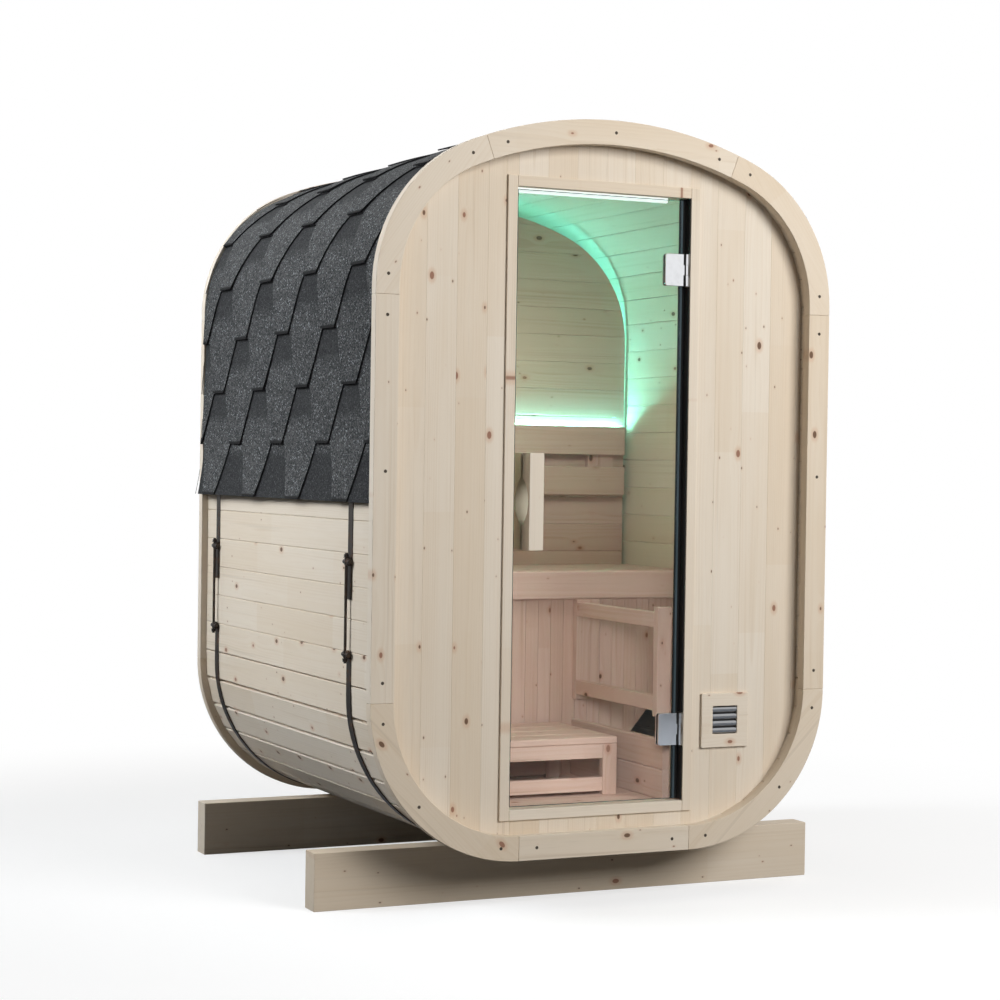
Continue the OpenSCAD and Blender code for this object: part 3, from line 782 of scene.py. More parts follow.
def outline_point(inset, run):
    """A point of the outline's right half and the way out there, at a run from the bottom's middle."""
    legs = [
        LOWER_X,
        (LOWER_R - inset) * math.pi / 2.0,
        UPPER_Z - LOWER_Z,
        (UPPER_R - inset) * (math.pi / 2.0 - CROWN_ANGLE),
        (CROWN_R - inset) * CROWN_ANGLE,
    ]
    if run <= legs[0]:
        return Vector((run, 0, BOTTOM_Z + inset)), Vector((0, 0, -1))
    run -= legs[0]
    if run <= legs[1]:
        turn = run / (LOWER_R - inset)
        way = Vector((math.sin(turn), 0, -math.cos(turn)))
        return Vector((LOWER_X, 0, LOWER_Z)) + way * (LOWER_R - inset), way
    run -= legs[1]
    if run <= legs[2]:
        return Vector((HALF_W - inset, 0, LOWER_Z + run)), Vector((1, 0, 0))
    run -= legs[2]
    if run <= legs[3]:
        turn = run / (UPPER_R - inset)
        way = Vector((math.cos(turn), 0, math.sin(turn)))
        return Vector((UPPER_X, 0, UPPER_Z)) + way * (UPPER_R - inset), way
    run -= legs[3]
    turn = math.pi / 2.0 - CROWN_ANGLE + run / (CROWN_R - inset)
    way = Vector((math.cos(turn), 0, math.sin(turn)))
    return Vector((0, 0, CROWN_Z)) + way * (CROWN_R - inset), way


def side_start(inset):
    """The way from the bottom's middle to the foot of the upright side."""
    return LOWER_X + (LOWER_R - inset) * math.pi / 2.0


def outline_length(inset):
    """The way from the bottom's middle to the crown's middle."""
    corner = (UPPER_R - inset) * (math.pi / 2.0 - CROWN_ANGLE)
    return side_start(inset) + UPPER_Z - LOWER_Z + corner + (CROWN_R - inset) * CROWN_ANGLE


def mirrored(vector):
    return Vector((-vector.x, vector.y, vector.z))


MIDDLE_ROOM = 0.01
MOST_STAVES = 60


def build_staves(sizes):
    """Flat staves that step round the outline, each narrower inside than outside."""
    line = side_start(STAVE_OUT) + sizes.stave_line - LOWER_Z
    steps = range(-math.floor(line / sizes.stave_cover), MOST_STAVES)
    runs = [line + k * sizes.stave_cover for k in steps]
    runs = [r for r in runs if MIDDLE_ROOM < r < outline_length(STAVE_OUT) - MIDDLE_ROOM]
    right = [outline_point(STAVE_OUT, r) for r in runs]
    left = [(mirrored(p), mirrored(n)) for p, n in right]
    loop = left + right[::-1]
    thickness = STAVE_IN - STAVE_OUT
    run_y = STAVE_REAR - STAVE_FRONT
    made = []
    for (start, start_way), (end, end_way) in zip(loop, loop[1:] + loop[:1]):
        chord = end - start
        inner_chord = (end - end_way * thickness) - (start - start_way * thickness)
        width = chord.length - sizes.board_gap
        stave = add_board((run_y, width, thickness), sizes.chamfer * 1.25, "stave")
        for vertex in stave.data.vertices:
            vertex.select = vertex.co.z < 0
        with edit_mode():
            bpy.ops.transform.resize(value=(1.0, inner_chord.length / chord.length, 1.0))
        side = chord.normalized()
        out = Vector((-side.z, 0, side.x))
        middle = (start + end) / 2.0 - out * (thickness / 2.0)
        turn = Matrix((AXES["Y"], -side, out)).transposed().to_4x4()
        made.append(put(stave, Matrix.Translation(middle) @ turn))
    obj = joined(made, "staves")
    lay_grain(obj, "Y")
    nodes = ["floor_staves", "lower_corner_staves", "side_staves", "upper_corner_staves", "crown_staves"]
    finish_piece(obj, [OUTER], nodes)


RING_NODES = ("ring_crowns", "ring_upper_corners", "ring_sides", "ring_lower_corners", "ring_bottoms")
RING_W = 0.067
CROWN_JOINT = math.radians(19.6)
SCREW_FROM_JOINT = 0.053
SIDE_SCREW = 0.60
CORNER_SCREW = 0.30


def ring_screw_runs():
    """The ways along the ring's middle line where its screws sit."""
    inset = RING_W / 2.0
    side = side_start(inset)
    top = outline_length(inset)
    upper_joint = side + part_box("ring_upper_corners")[0].z - LOWER_Z
    joints = [LOWER_X, side, upper_joint, top - CROWN_JOINT * (CROWN_R - inset)]
    runs = [j + k * SCREW_FROM_JOINT for j in joints for k in (-1, 1)]
    return inset, runs + [side + SIDE_SCREW, side - CORNER_SCREW]


def screw_head(radius):
    """A countersunk head with a cross recess, facing up, about the origin."""
    bpy.ops.object.select_all(action="DESELECT")
    bpy.ops.mesh.primitive_cylinder_add(vertices=12, radius=radius, depth=0.0016)
    obj = bpy.context.object
    for face in obj.data.polygons:
        face.select = face.normal.z > 0.9
    with edit_mode():
        bpy.ops.mesh.select_mode(type="FACE")
        bpy.ops.mesh.inset(thickness=radius * 0.22, depth=0.0003)
        bpy.ops.mesh.inset(thickness=radius * 0.34, depth=0.0)
        bpy.ops.mesh.inset(thickness=radius * 0.08, depth=-0.0011)
    return obj


def build_rings(sizes):
    """Ring pieces with rounded edges, and the screws that hold them."""
    for node in RING_NODES:
        rounded_node(node, node.replace("ring_", "ring_piece_"), OUTER, sizes.rounding)
    inset, runs = ring_screw_runs()
    spots = [outline_point(inset, r)[0] for r in runs]
    spots = spots + [mirrored(p) for p in spots] + [outline_point(inset, outline_length(inset))[0]]
    model = screw_head(sizes.screw)
    made = []
    for y, face in ((RING_BOX[0].y, -1), (RING_BOX[1].y, 1)):
        turn = Matrix.Rotation(-face * math.pi / 2.0, 4, "X")
        for spot in spots:
            centre = Vector((spot.x, y + face * 0.0001, spot.z))
            made.append(put(own_copy(model), Matrix.Translation(centre) @ turn))
    bpy.data.objects.remove(model)
    finish_piece(joined(made, "ring_screws"), ["screw"])


def build_beams(sizes):
    """Two planed ground beams."""
    rounded_node("ground_beams", "beams", OUTER, sizes.rounding * 1.3, along="X")


TAB_MIDDLE = -0.140
TAB_SHIFT = 0.018
TAB_STRAY = 0.004
TAB_LIFT = 0.0034
COURSES = 9
STARTER_BAND = 0.30
STARTER_FADE = 1.6
STARTER_FREE = 0.085
SHINGLE_WELD = 0.0002
MIDDLE_Z = 1.2
LAP = 0.030
BED_GAP = 0.0004
END_ROOM = 0.0006
FLARE = 0.008
FLARE_REAR = 0.006
FLARE_REACH = 0.17
REAR_RISE = 0.009
REAR_RISE_REACH = 1.2
CAPS = 9
CAP_STEP = 0.155
CAP_HALF = 0.094
CAP_LENGTH = 0.25
CAP_THICK = 0.003
CAP_RISE = 0.0130
CAP_FALL = 0.0055


def roof_place(run, side, height):
    """A point over the roofing's bed: run up from the lower edge, on one side, at a height over the bed."""
    base = side_start(ROOF_BASE) + ROOF_EDGE_Z - LOWER_Z
    point, way = outline_point(ROOF_BASE, base + run)
    point = point + way * height
    return Vector((side * point.x, 0, point.z))


def flare(run, depth):
    """How far the roofing's lower edge stands off, more so towards the rear."""
    share = max(0.0, 1.0 - run / FLARE_REACH)
    return (FLARE + FLARE_REAR * depth) * share ** 1.8


def add_grid(columns, rows):
    """A flat grid of faces, one unit wide about the origin."""
    bpy.ops.object.select_all(action="DESELECT")
    bpy.ops.mesh.primitive_grid_add(x_subdivisions=columns, y_subdivisions=rows, size=1.0)
    return bpy.context.object


def keep_lay(mesh, lay):
    """Keeps each vertex's place on its shingle for the finish."""
    mesh.attributes.new("lay", "FLOAT_VECTOR", "POINT").data.foreach_set("vector", lay.ravel())


def ridge_run():
    """The way from the roofing's lower edge up to the ridge."""
    return outline_length(ROOF_BASE) - side_start(ROOF_BASE) - ROOF_EDGE_Z + LOWER_Z


def shingle_strip(sizes, side, foot, phase, draw, rows, tabs=True):
    """One course of shingles, from its lower edge up: tabs below, a closed strip above."""
    course = sizes.course
    front = STAVE_FRONT + END_ROOM
    rear = STAVE_REAR - END_ROOM
    count = math.ceil((rear - front) / sizes.tab_pitch) + 2
    half = sizes.tab_foot / 2.0
    columns = []
    for k in range(-1, count):
        middle = phase + k * sizes.tab_pitch
        columns.append((middle - half, -sizes.tab_lean, k, 0))
        columns.append((middle + half, sizes.tab_back_lean, k, 1))
    lifts = {(k, e): draw.uniform(0.0, TAB_LIFT) for k in range(-1, count) for e in (0, 1)}
    obj = add_grid(len(columns) - 1, len(rows) - 1)
    mesh = obj.data
    lay = np.zeros((len(mesh.vertices), 3))
    shade = draw.random()
    for face in mesh.polygons:
        middle = face.center
        column = math.floor((middle.x + 0.5) * (len(columns) - 1))
        row = math.floor((middle.y + 0.5) * (len(rows) - 1))
        face.select = tabs and column % 2 == 1 and rows[row] < course - 0.001
    slope = (sizes.shingle + BED_GAP) / course
    for vertex in mesh.vertices:
        column = round((vertex.co.x + 0.5) * (len(columns) - 1))
        row = round((vertex.co.y + 0.5) * (len(rows) - 1))
        up = rows[row]
        foot_y, lean, k, edge = columns[column]
        share = min(1.0, up / course)
        along = min(max(foot_y + lean * share, front - 0.2), rear + 0.2)
        along = along if side < 0 else front + rear - along
        along = min(max(along, front), rear)
        height = BED_GAP + slope * (rows[-1] - up) + sizes.shingle
        height += lifts[(k, edge)] * (1.0 - share) ** 2
        depth = (along - front) / (rear - front)
        rise = REAR_RISE * depth ** 2 * max(0.0, 1.0 - (foot + up) / REAR_RISE_REACH)
        height += flare(foot + up, depth) + rise
        spot = roof_place(max(0.0, foot + up), side, height)
        vertex.co = (spot.x, along, spot.z)
        bare = STARTER_BAND - STARTER_FADE * max(0.0, foot + up - STARTER_FREE)
        lay[vertex.index] = (along, up if tabs else bare, shade)
    keep_lay(mesh, lay)
    take(obj)
    with edit_mode():
        bpy.ops.mesh.select_mode(type="FACE")
        if tabs:
            bpy.ops.mesh.delete(type="FACE")
        bpy.ops.mesh.select_all(action="SELECT")
        bpy.ops.mesh.remove_doubles(threshold=SHINGLE_WELD)
        bpy.ops.mesh.dissolve_degenerate(threshold=SHINGLE_WELD)
    return thicken(obj, sizes.shingle)


def thicken(obj, thickness):
    """Gives an outer skin its thickness inwards, with black cut edges."""
    out = sum(f.normal.dot(f.center - Vector((0, f.center.y, MIDDLE_Z))) * f.area for f in obj.data.polygons)
    if out < 0:
        take(obj)
        with edit_mode():
            bpy.ops.mesh.select_all(action="SELECT")
            bpy.ops.mesh.flip_normals()
    for name in ("shingle", "bitumen"):
        obj.data.materials.append(finish_of(name))
    return modify(
        obj, "SOLIDIFY", thickness=thickness, offset=-1.0, material_offset_rim=1, use_even_offset=False
    )


def ridge_cap(start, draw):
    """A cap shingle across the ridge, its free edge towards the front."""
    obj = add_grid(8, 4)
    mesh = obj.data
    lay = np.zeros((len(mesh.vertices), 3))
    shade = draw.random()
    base = ridge_run()
    for vertex in mesh.vertices:
        across = vertex.co.x * 2.0 * CAP_HALF
        share = vertex.co.y + 0.5
        height = CAP_RISE - CAP_FALL * share + CAP_THICK
        spot = roof_place(base - abs(across), 1 if across >= 0 else -1, height)
        along = min(start + share * CAP_LENGTH, STAVE_REAR - END_ROOM)
        vertex.co = (spot.x, along, spot.z)
        lay[vertex.index] = (along, 0.05, shade)
    keep_lay(mesh, lay)
    return thicken(obj, CAP_THICK)


def build_roofing(sizes):
    """Courses of tabbed shingles from both lower edges to the ridge, and caps along the ridge."""
    draw = random.Random(SEED)
    course = sizes.course
    lap = course * 2.0 + LAP
    rows = [course * k / 6.0 for k in range(7)] + [course + (lap - course) * k / 7.0 for k in range(1, 8)]
    starter = [r for r in rows if r >= course - 0.0001]
    made = []
    ridge = ridge_run()
    for side in (-1, 1):
        made.append(shingle_strip(sizes, side, -course, STAVE_FRONT, draw, starter, tabs=False))
        for k in range(COURSES):
            middle = TAB_MIDDLE - TAB_SHIFT * k + sizes.tab_pitch / 2.0 * (k % 2)
            middle += draw.uniform(-TAB_STRAY, TAB_STRAY)
            own_rows = [r for r in rows if k * course + r < ridge - 0.002]
            if len(own_rows) < len(rows):
                own_rows.append(ridge - k * course - 0.001)
            phase = STAVE_FRONT + (middle - STAVE_FRONT) % sizes.tab_pitch
            made.append(shingle_strip(sizes, side, k * course, phase, draw, own_rows))
    for k in range(CAPS):
        made.append(ridge_cap(STAVE_FRONT + 0.001 + k * CAP_STEP, draw))
    finish_piece(joined(made, "shingles"), [], ["roofing"], angle=40.0)


BAND_YS = (-0.525, 0.587)
LUG_ZS = (0.679, 0.925)
TAIL_WIDTH = 0.030
TAIL_LENGTH = 0.100
TAIL_OVER = 0.012
TAIL_FACES = (0.0046, 0.0026)
BAND_THICK = 0.002
LOOP_DEEP = 0.0125
LOOP_HALF = 0.011
PIVOT_OFF = 0.0075
ROD_OFF = 0.0105
ROD_END = 0.024
NUT_OFF = 0.0165
WASHER_OFF = 0.0120


def build_hoops():
    """Steel bands round the barrel, with a loose tail under each upper lug."""
    face = -HALF_W + STAVE_OUT
    bands = merged_copy("hoop_bands", "bands")
    tails = []
    half = TAIL_WIDTH / 2.0
    for y in BAND_YS:
        low = (face - TAIL_FACES[0], y - half, LUG_ZS[1] - TAIL_LENGTH)
        high = (face - TAIL_FACES[1], y + half, LUG_ZS[1] + TAIL_OVER)
        tails.append(add_block(low, high))
    obj = joined([bands] + tails, "hoops")
    round_edges(obj, 0.0004, 1)
    finish_piece(obj, ["hoop_steel"], ["hoop_bands"])


def rounded_rod(start, axis, depth, radius, sides, width):
    """A round bar with rounded ends."""
    return round_edges(add_rod(start, axis, depth, radius, sides), width, 1)


def build_tensioners():
    """A rod with nuts between two pivot barrels, each held in a strap loop."""
    face = -HALF_W + STAVE_OUT - BAND_THICK
    rod_x = face - ROD_OFF
    half = TAIL_WIDTH / 2.0
    made = []
    for y in BAND_YS:
        for z, up in zip(LUG_ZS, (-1, 1)):
            loop = add_block((face - LOOP_DEEP, y - half, z - LOOP_HALF), (face, y + half, z + LOOP_HALF))
            made.append(round_edges(loop, 0.0048, 3))
            made.append(rounded_rod((face - PIVOT_OFF, y - 0.022, z), "Y", 0.044, 0.0062, 14, 0.0010))
            made.append(rounded_rod((rod_x, y, z + up * NUT_OFF - 0.0035), "Z", 0.007, 0.0068, 6, 0.0007))
            washer = (rod_x, y, z + up * WASHER_OFF - 0.0008)
            made.append(rounded_rod(washer, "Z", 0.0016, 0.0080, 14, 0.0003))
        span = LUG_ZS[1] - LUG_ZS[0] + 2.0 * ROD_END
        made.append(rounded_rod((rod_x, y, LUG_ZS[0] - ROD_END), "Z", span, 0.0040, 12, 0.0006))
    finish_piece(joined(made, "tensioners"), ["hoop_steel"], ["hoop_tensioners"])


WALL_NODES = (
    "front_wall_left", "front_wall_right", "front_wall_over_door", "front_wall_under_door", "rear_wall",
)
WALL_GAP_SHARE = 0.04


def build_end_walls(sizes):
    """Upright tongued boards in both end walls."""
    for node in WALL_NODES:
        gap = sizes.board_gap * WALL_GAP_SHARE
        boarded(node, node + "_boards", "Z", "X", sizes.wall_cover, 0.0, OUTER, gap, sizes.chamfer * 0.4)


HINGE_TALL = 0.088
HINGE_ROOM = 0.002
HEAD_TALL = 0.029
SILL_TALL = 0.032
SEAL_TALL = 0.014
SEAL_SHORT = 0.060
SEAL_YS = (0.026, 0.038)
STRIP_XS = (0.0205, 0.0030)
STRIP_YS = (0.0270, 0.0325)
# Thin black sheets on the jamb's inner face beside the hinges: painted shade
SHADE_FLANK_XS = (0.0024, 0.0002)
SHADE_FLANK_YS = (0.0040, 0.0480)


def hinge_spans(low, high):
    """The lengths of the hinge side that are free of hinges, as pairs of heights."""
    foot, head = (v.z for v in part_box("hinge_leaves"))
    inner = (foot + HINGE_TALL + HINGE_ROOM, head - HINGE_TALL - HINGE_ROOM)
    return (low, foot - HINGE_ROOM), inner, (head + HINGE_ROOM, high)


def build_door_frame(sizes):
    """Jambs and rails round the doorway, the white seal under the head, which glows as painted light, and
    the black seal by the hinges, which with thin black sheets on the jamb also stands in for the shade in
    the gap there as painted shade.
    """
    rounded_node("door_frame_jambs", "door_jambs", OUTER, sizes.rounding, along="Z")
    rounded_node("door_frame_rails", "door_rails", OUTER, sizes.rounding, along="X")
    low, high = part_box("door_frame_rails")
    head = high.z - HEAD_TALL
    near = (low.x + 0.001, low.y + SEAL_YS[0], head - SEAL_TALL)
    far = (high.x - SEAL_SHORT, low.y + SEAL_YS[1], head)
    # The white seal glows with painted light from its finish
    seal = round_edges(add_block(near, far), 0.002)
    finish_piece(joined([seal], "head_seal"), ["seal"])
    sill = low.z + SILL_TALL
    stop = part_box("hinge_leaves")[1].x
    near = (stop - STRIP_XS[0], low.y + STRIP_YS[0], sill)
    far = (stop - STRIP_XS[1], low.y + STRIP_YS[1], head)
    # A black stop strip behind the gap at the hinge side: a real seal that also stands in for the shade in
    # the gap
    blocks = [add_block(near, far)]
    for start, end in hinge_spans(sill, head):
        near = (stop - SHADE_FLANK_XS[0], low.y + SHADE_FLANK_YS[0], start)
        far = (stop - SHADE_FLANK_XS[1], low.y + SHADE_FLANK_YS[1], end)
        blocks.append(add_block(near, far))
    finish_piece(joined(blocks, "hinge_side_seal"), ["rubber"])


HINGE_X = 0.254
KNUCKLE_REACH = 0.0086


def build_door(sizes):
    """The glass pane with its handles and clamps, and the jamb's leaves. The hinges' faces beside the pin
    take black rubber as painted shade.
    """
    pane = merged_copy("door_glass", "door_pane")
    for name in ("glass", "glass_edge"):
        pane.data.materials.append(finish_of(name))
    round_edges(pane, 0.0008, 1)
    for face in pane.data.polygons:
        face.material_index = 0 if abs(face.normal.y) > 0.9 else 1
    finish_piece(pane, [], ["door_glass"], "door")
    rounded_node("door_handles", "door_handle_bars", OUTER, sizes.rounding, "door", "Z")
    for node, body in (("hinge_clamps", "door"), ("hinge_leaves", "barrel")):
        obj = merged_copy(node, node + "_polished")
        round_edges(obj, 0.0008, 2)
        for name in ("polished_steel", "rubber"):
            obj.data.materials.append(finish_of(name))
        for face in obj.data.polygons:
            # Left-facing faces beside the pin take black rubber: painted shade for the gap between plate and
            # knuckle
            painted_shade_by_pin = -KNUCKLE_REACH < face.center.x - HINGE_X < 0.0005
            face.material_index = 1 if painted_shade_by_pin and face.normal.x < -0.45 else 0
        finish_piece(obj, [], [node], body)


VENT_SLATS = 4
SLAT_ROOM = 0.0004
SLAT_OFF = 0.0020
SLAT_ROUND = 0.42
SLAT_FLAT = 0.62


def build_vent(sizes):
    """A wooden frame round a black sheet of painted shade, standing in for the shaded opening, with four
    rounded steel slats.
    """
    rounded_node("vent_frame", "vent_surround", OUTER, sizes.rounding * 1.4, along="X")
    low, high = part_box("vent_louvre")
    # A black rubber sheet behind the slats: painted shade where the opening lies in shade
    back = add_block((low.x, high.y - 0.0012, low.z), (high.x, high.y - 0.0002, high.z))
    back.data.materials.append(finish_of("rubber"))
    pitch = (high.z - low.z) / VENT_SLATS
    parts = [back]
    for k in range(VENT_SLATS):
        z = low.z + pitch * (k + 0.5)
        start = (low.x + SLAT_ROOM, high.y - SLAT_OFF, z)
        slat = add_rod(start, "X", high.x - low.x - 2.0 * SLAT_ROOM, pitch * SLAT_ROUND, 20)
        with edit_mode():
            bpy.ops.mesh.select_all(action="SELECT")
            bpy.ops.transform.resize(value=(1.0, SLAT_FLAT, 1.0), center_override=(0.0, start[1], z))
        # The slats take steel darkened as painted shade for the vent's recess
        slat.data.materials.append(finish_of("dark_steel"))
        parts.append(slat)
    finish_piece(joined(parts, "vent_slats"), [], ["vent_louvre"])


SEAT_COVER = 0.098
KICK_COVER = 0.084
STOOL_COVER = 0.095
GUARD_THICK = 0.026
GUARD_TALL = 0.042
LEG_WIDE = 0.045
LEG_THICK = 0.020
RAIL_TALL = 0.040


def build_floor(sizes):
    """Floor boards over three bearers."""
    plain_boards(
        "floor_deck", "floor_boards", "X", "Y", sizes.deck_cover, sizes.board_gap, sizes.chamfer
    )
    rounded_node("floor_bearers", "bearers", INNER, sizes.rounding, along="Y")


def build_lining(sizes):
    """The arched lining of level boards, its cleats and the light strips behind it."""
    boarded(
        "lining_panel", "lining_boards", "X", "Z", sizes.lining_cover, sizes.lining_line, INNER,
        sizes.board_gap, sizes.chamfer,
    )
    rounded_node("lining_cleats", "cleats", INNER, sizes.rounding, along="Z")
    strip = merged_copy("light_strips", "light_lines")
    for name in ("light_strip", "polished_steel"):
        strip.data.materials.append(finish_of(name))
    round_edges(strip, 0.001, 1)
    for face in strip.data.polygons:
        before_lining = face.center.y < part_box("lining_panel")[0].y - 0.0002
        face.material_index = 1 if before_lining and face.normal.z < 0.3 else 0
    finish_piece(strip, [], ["light_strips"])


def build_bench(sizes):
    """Bench boards, the front board, the boarding under it and the ledger at the lining."""
    plain_boards("bench_seat", "bench_boards", "X", "Y", SEAT_COVER, 0.004, 0.003)
    rounded_node("bench_apron", "bench_front", INNER, 0.006, along="X", segments=3)
    boarded(
        "bench_skirt", "bench_boarding", "Z", "X", sizes.skirt_cover, 0.0, INNER, sizes.board_gap,
        sizes.chamfer * 0.7,
    )
    rounded_node("bench_ledger", "ledger", INNER, sizes.rounding, along="X")


def build_backrest(sizes):
    """Two slats on two battens."""
    rounded_node("backrest_slats", "back_slats", INNER, 0.004, along="X", segments=3)
    rounded_node("backrest_battens", "back_battens", INNER, sizes.rounding, along="Z")


def build_guard(sizes):
    """The heater's guard: posts, rails and the low boards on the floor."""
    low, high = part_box("guard_rails")
    thick = GUARD_THICK
    tall = GUARD_TALL
    blocks = []
    for z in (low.z, high.z - tall):
        foot = max(0.0, LOWER_Z - z)
        room = LOWER_X + math.sqrt((LOWER_R - STAVE_IN) ** 2 - foot ** 2)
        blocks.append(((low.x, low.y, z), (low.x + thick, high.y, z + tall)))
        blocks.append(((low.x + thick + 0.0004, low.y, z), (room - 0.0004, low.y + thick, z + tall)))
    timbers("guard_rails", "guard_bars", blocks, sizes.rounding)
    rounded_node("guard_posts", "guard_uprights", INNER, sizes.rounding, along="Z")
    plain_boards("kick_board", "kick_boards", "Y", "Z", KICK_COVER, 0.001, 0.002)


def build_stool(sizes):
    """The step stool: top boards, legs and rails."""
    plain_boards("stool_top", "stool_boards", "X", "Y", STOOL_COVER, 0.0015, 0.003)
    low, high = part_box("stool_legs")
    wide = LEG_WIDE
    thick = LEG_THICK
    legs = []
    for x in (low.x, high.x - wide):
        for y in (low.y, high.y - thick):
            legs.append(((x, y, low.z), (x + wide, y + thick, high.z)))
    timbers("stool_legs", "stool_posts", legs, sizes.rounding)
    low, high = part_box("stool_rails")
    tall = RAIL_TALL
    rails = []
    for y in (low.y, high.y - thick):
        for z in (low.z, high.z - tall):
            rails.append(((low.x + wide, y, z), (high.x - wide, y + thick, z + tall)))
    for x in (low.x, high.x - thick):
        rails.append(((x, low.y + thick, high.z - tall), (x + thick, high.y - thick, high.z)))
    timbers("stool_rails", "stool_bars", rails, sizes.rounding)


CAMERA_PLACE = (-2.87362, -6.08420, 1.18505)
CAMERA_TURN = (89.13197, -0.84925, -25.36868)
CAMERA_LENS = 80.99
Lamp = namedtuple("Lamp", "name place aim size power tint spread low_only", defaults=(180.0, False))
TEAL = (0.20, 1.0, 0.88)
LAMPS = (
    Lamp("key_lamp", (1.7, -4.7, 3.0), (0.1, -0.7, 1.5), (2.6, 2.4), 224.0, (1.0, 0.995, 0.985)),
    Lamp("side_lamp", (-4.5, 1.1, 3.5), (-0.69, 0.1, 1.45), (2.2, 2.4), 38.0, (0.9, 0.95, 1.0), 60.0),
    Lamp("right_lamp", (4.2, 1.8, 2.8), (0.69, 0.0, 1.1), (2.2, 2.2), 45.0, (1.0, 0.99, 0.97)),
    Lamp("rear_lamp", (-1.2, 5.2, 2.6), (0.0, 0.72, 1.1), (2.4, 2.2), 58.0, (1.0, 0.99, 0.98)),
    Lamp("top_lamp", (0.3, -0.6, 5.2), (0.0, 0.0, 1.5), (3.4, 3.4), 36.0, (1.0, 1.0, 1.0)),
    Lamp("room_lamp", (0.05, -0.45, 1.55), (-0.05, 0.25, 0.8), (0.5, 0.2), 3.0, (0.99, 0.94, 0.89)),
    Lamp(
        "door_lamp", (-0.75, -2.3, 1.0), (0.27, -0.5, 0.5), (0.5, 0.5), 3.1, (0.98, 0.93, 0.94), 50.0,
        low_only=True,
    ),
    Lamp("lining_lamp", (0.0, -0.3, 1.7), (0.0, 0.33, 1.45), (0.6, 0.3), 0.54, (0.72, 1.0, 0.8), 70.0),
    Lamp("left_glow", (-0.608, 0.34, 1.47), (-0.7, 0.34, 1.47), (0.012, 0.36), 0.01, TEAL),
    Lamp("right_glow", (0.608, 0.34, 1.47), (0.7, 0.34, 1.47), (0.012, 0.36), 0.01, TEAL),
)
LOW_TOP = 0.95
AMBIENT = 0.05
FLOOR_SIZE = 60.0
FLOOR_FADE = (1.2, 3.2)


def low_pieces():
    """The low wooden pieces inside, which a lamp before the door lights on their own."""
    group = bpy.data.collections.new("low_pieces")
    wood = finish_of(INNER)
    for obj in bpy.context.scene.objects:
        if obj.type != "MESH" or wood not in obj.data.materials[:]:
            continue
        if max(corner[2] for corner in obj.bound_box) < LOW_TOP:
            group.objects.link(obj)
    return group


def add_lamp(lamp):
    """An area lamp that the camera and the reflections don't show."""
    bpy.ops.object.light_add(type="AREA", location=lamp.place)
    made = bpy.context.object
    made.name = lamp.name
    made.data.shape = "RECTANGLE"
    made.data.size, made.data.size_y = lamp.size
    made.data.energy = lamp.power
    made.data.color = lamp.tint
    made.data.spread = math.radians(lamp.spread)
    made.visible_camera = False
    made.visible_glossy = False
    if lamp.low_only:
        made.light_linking.receiver_collection = low_pieces()
    made.rotation_euler = (Vector(lamp.aim) - Vector(lamp.place)).to_track_quat("-Z", "Y").to_euler()


def add_ground():
    """A plain floor that looks white far off and keeps the shadow near the sauna."""
    bpy.ops.object.select_all(action="DESELECT")
    bpy.ops.mesh.primitive_plane_add(size=FLOOR_SIZE)
    floor = bpy.context.object
    floor.name = "floor"
    f = Finish("floor")
    x, y, _ = f.split(f.place())
    away = (x * x + y * y) ** 0.5
    near = 1.0 - f.smooth(away, *FLOOR_FADE)
    light = f.node("ShaderNodeLightPath", out="Is Camera Ray")
    seen = light + light.other("Is Transmission Ray")
    mirrored_tone = f.mix(light.other("Is Glossy Ray"), (0.15, 0.145, 0.14), (0.33, 0.35, 0.38))
    bounce = f.node("ShaderNodeBsdfDiffuse", None, {"Color": mirrored_tone})
    plain = f.node("ShaderNodeBsdfDiffuse", None, {"Color": (0.42, 0.42, 0.42, 1.0)})
    white = f.node("ShaderNodeEmission", None, {"Color": (1.0, 1.0, 1.0, 1.0), "Strength": 1.0})
    pale = f.node("ShaderNodeEmission", None, {"Color": (1.0, 1.0, 1.0, 1.0), "Strength": 0.62})
    shaded = f.node("ShaderNodeAddShader", None, {0: plain, 1: pale})
    ground = f.node("ShaderNodeMixShader", None, {0: near, 1: white, 2: shaded})
    mixed = f.node("ShaderNodeMixShader", None, {0: seen, 1: bounce, 2: ground})
    floor.data.materials.append(f.done(mixed))


def add_world():
    """A world that is white to look at and gives little light."""
    world = bpy.data.worlds.new("studio")
    bpy.context.scene.world = world
    world.use_nodes = True
    tree = world.node_tree
    back = tree.nodes["Background"]
    path = tree.nodes.new("ShaderNodeLightPath")
    total = back
    for name in ("Is Camera Ray", "Is Glossy Ray", "Is Transmission Ray"):
        more = tree.nodes.new("ShaderNodeMath")
        more.operation = "MAXIMUM"
        tree.links.new(path.outputs[name], more.inputs[0])
        if total is back:
            more.inputs[1].default_value = AMBIENT
        else:
            tree.links.new(total.outputs[0], more.inputs[1])
        total = more
    tree.links.new(total.outputs[0], back.inputs["Strength"])
    back.inputs["Color"].default_value = (1.0, 1.0, 1.0, 1.0)


def build_stage():
    """A pale floor, a white world, soft lamps and the camera."""
    scene = bpy.context.scene
    scene.view_settings.view_transform = "Standard"
    add_ground()
    add_world()
    for lamp in LAMPS:
        add_lamp(lamp)
    turn = [math.radians(a) for a in CAMERA_TURN]
    bpy.ops.object.camera_add(location=CAMERA_PLACE, rotation=turn)
    camera = bpy.context.object
    camera.data.lens = CAMERA_LENS
    camera.data.sensor_width = 36.0
    scene.camera = camera


class SAUNA_OT_staves(bpy.types.Operator):
    """Lay the staves round the barrel"""

    bl_idname = "sauna.staves"
    bl_label = "Staves"

    def execute(self, context):
        build_staves(context.scene.sauna_sizes)
        return {"FINISHED"}


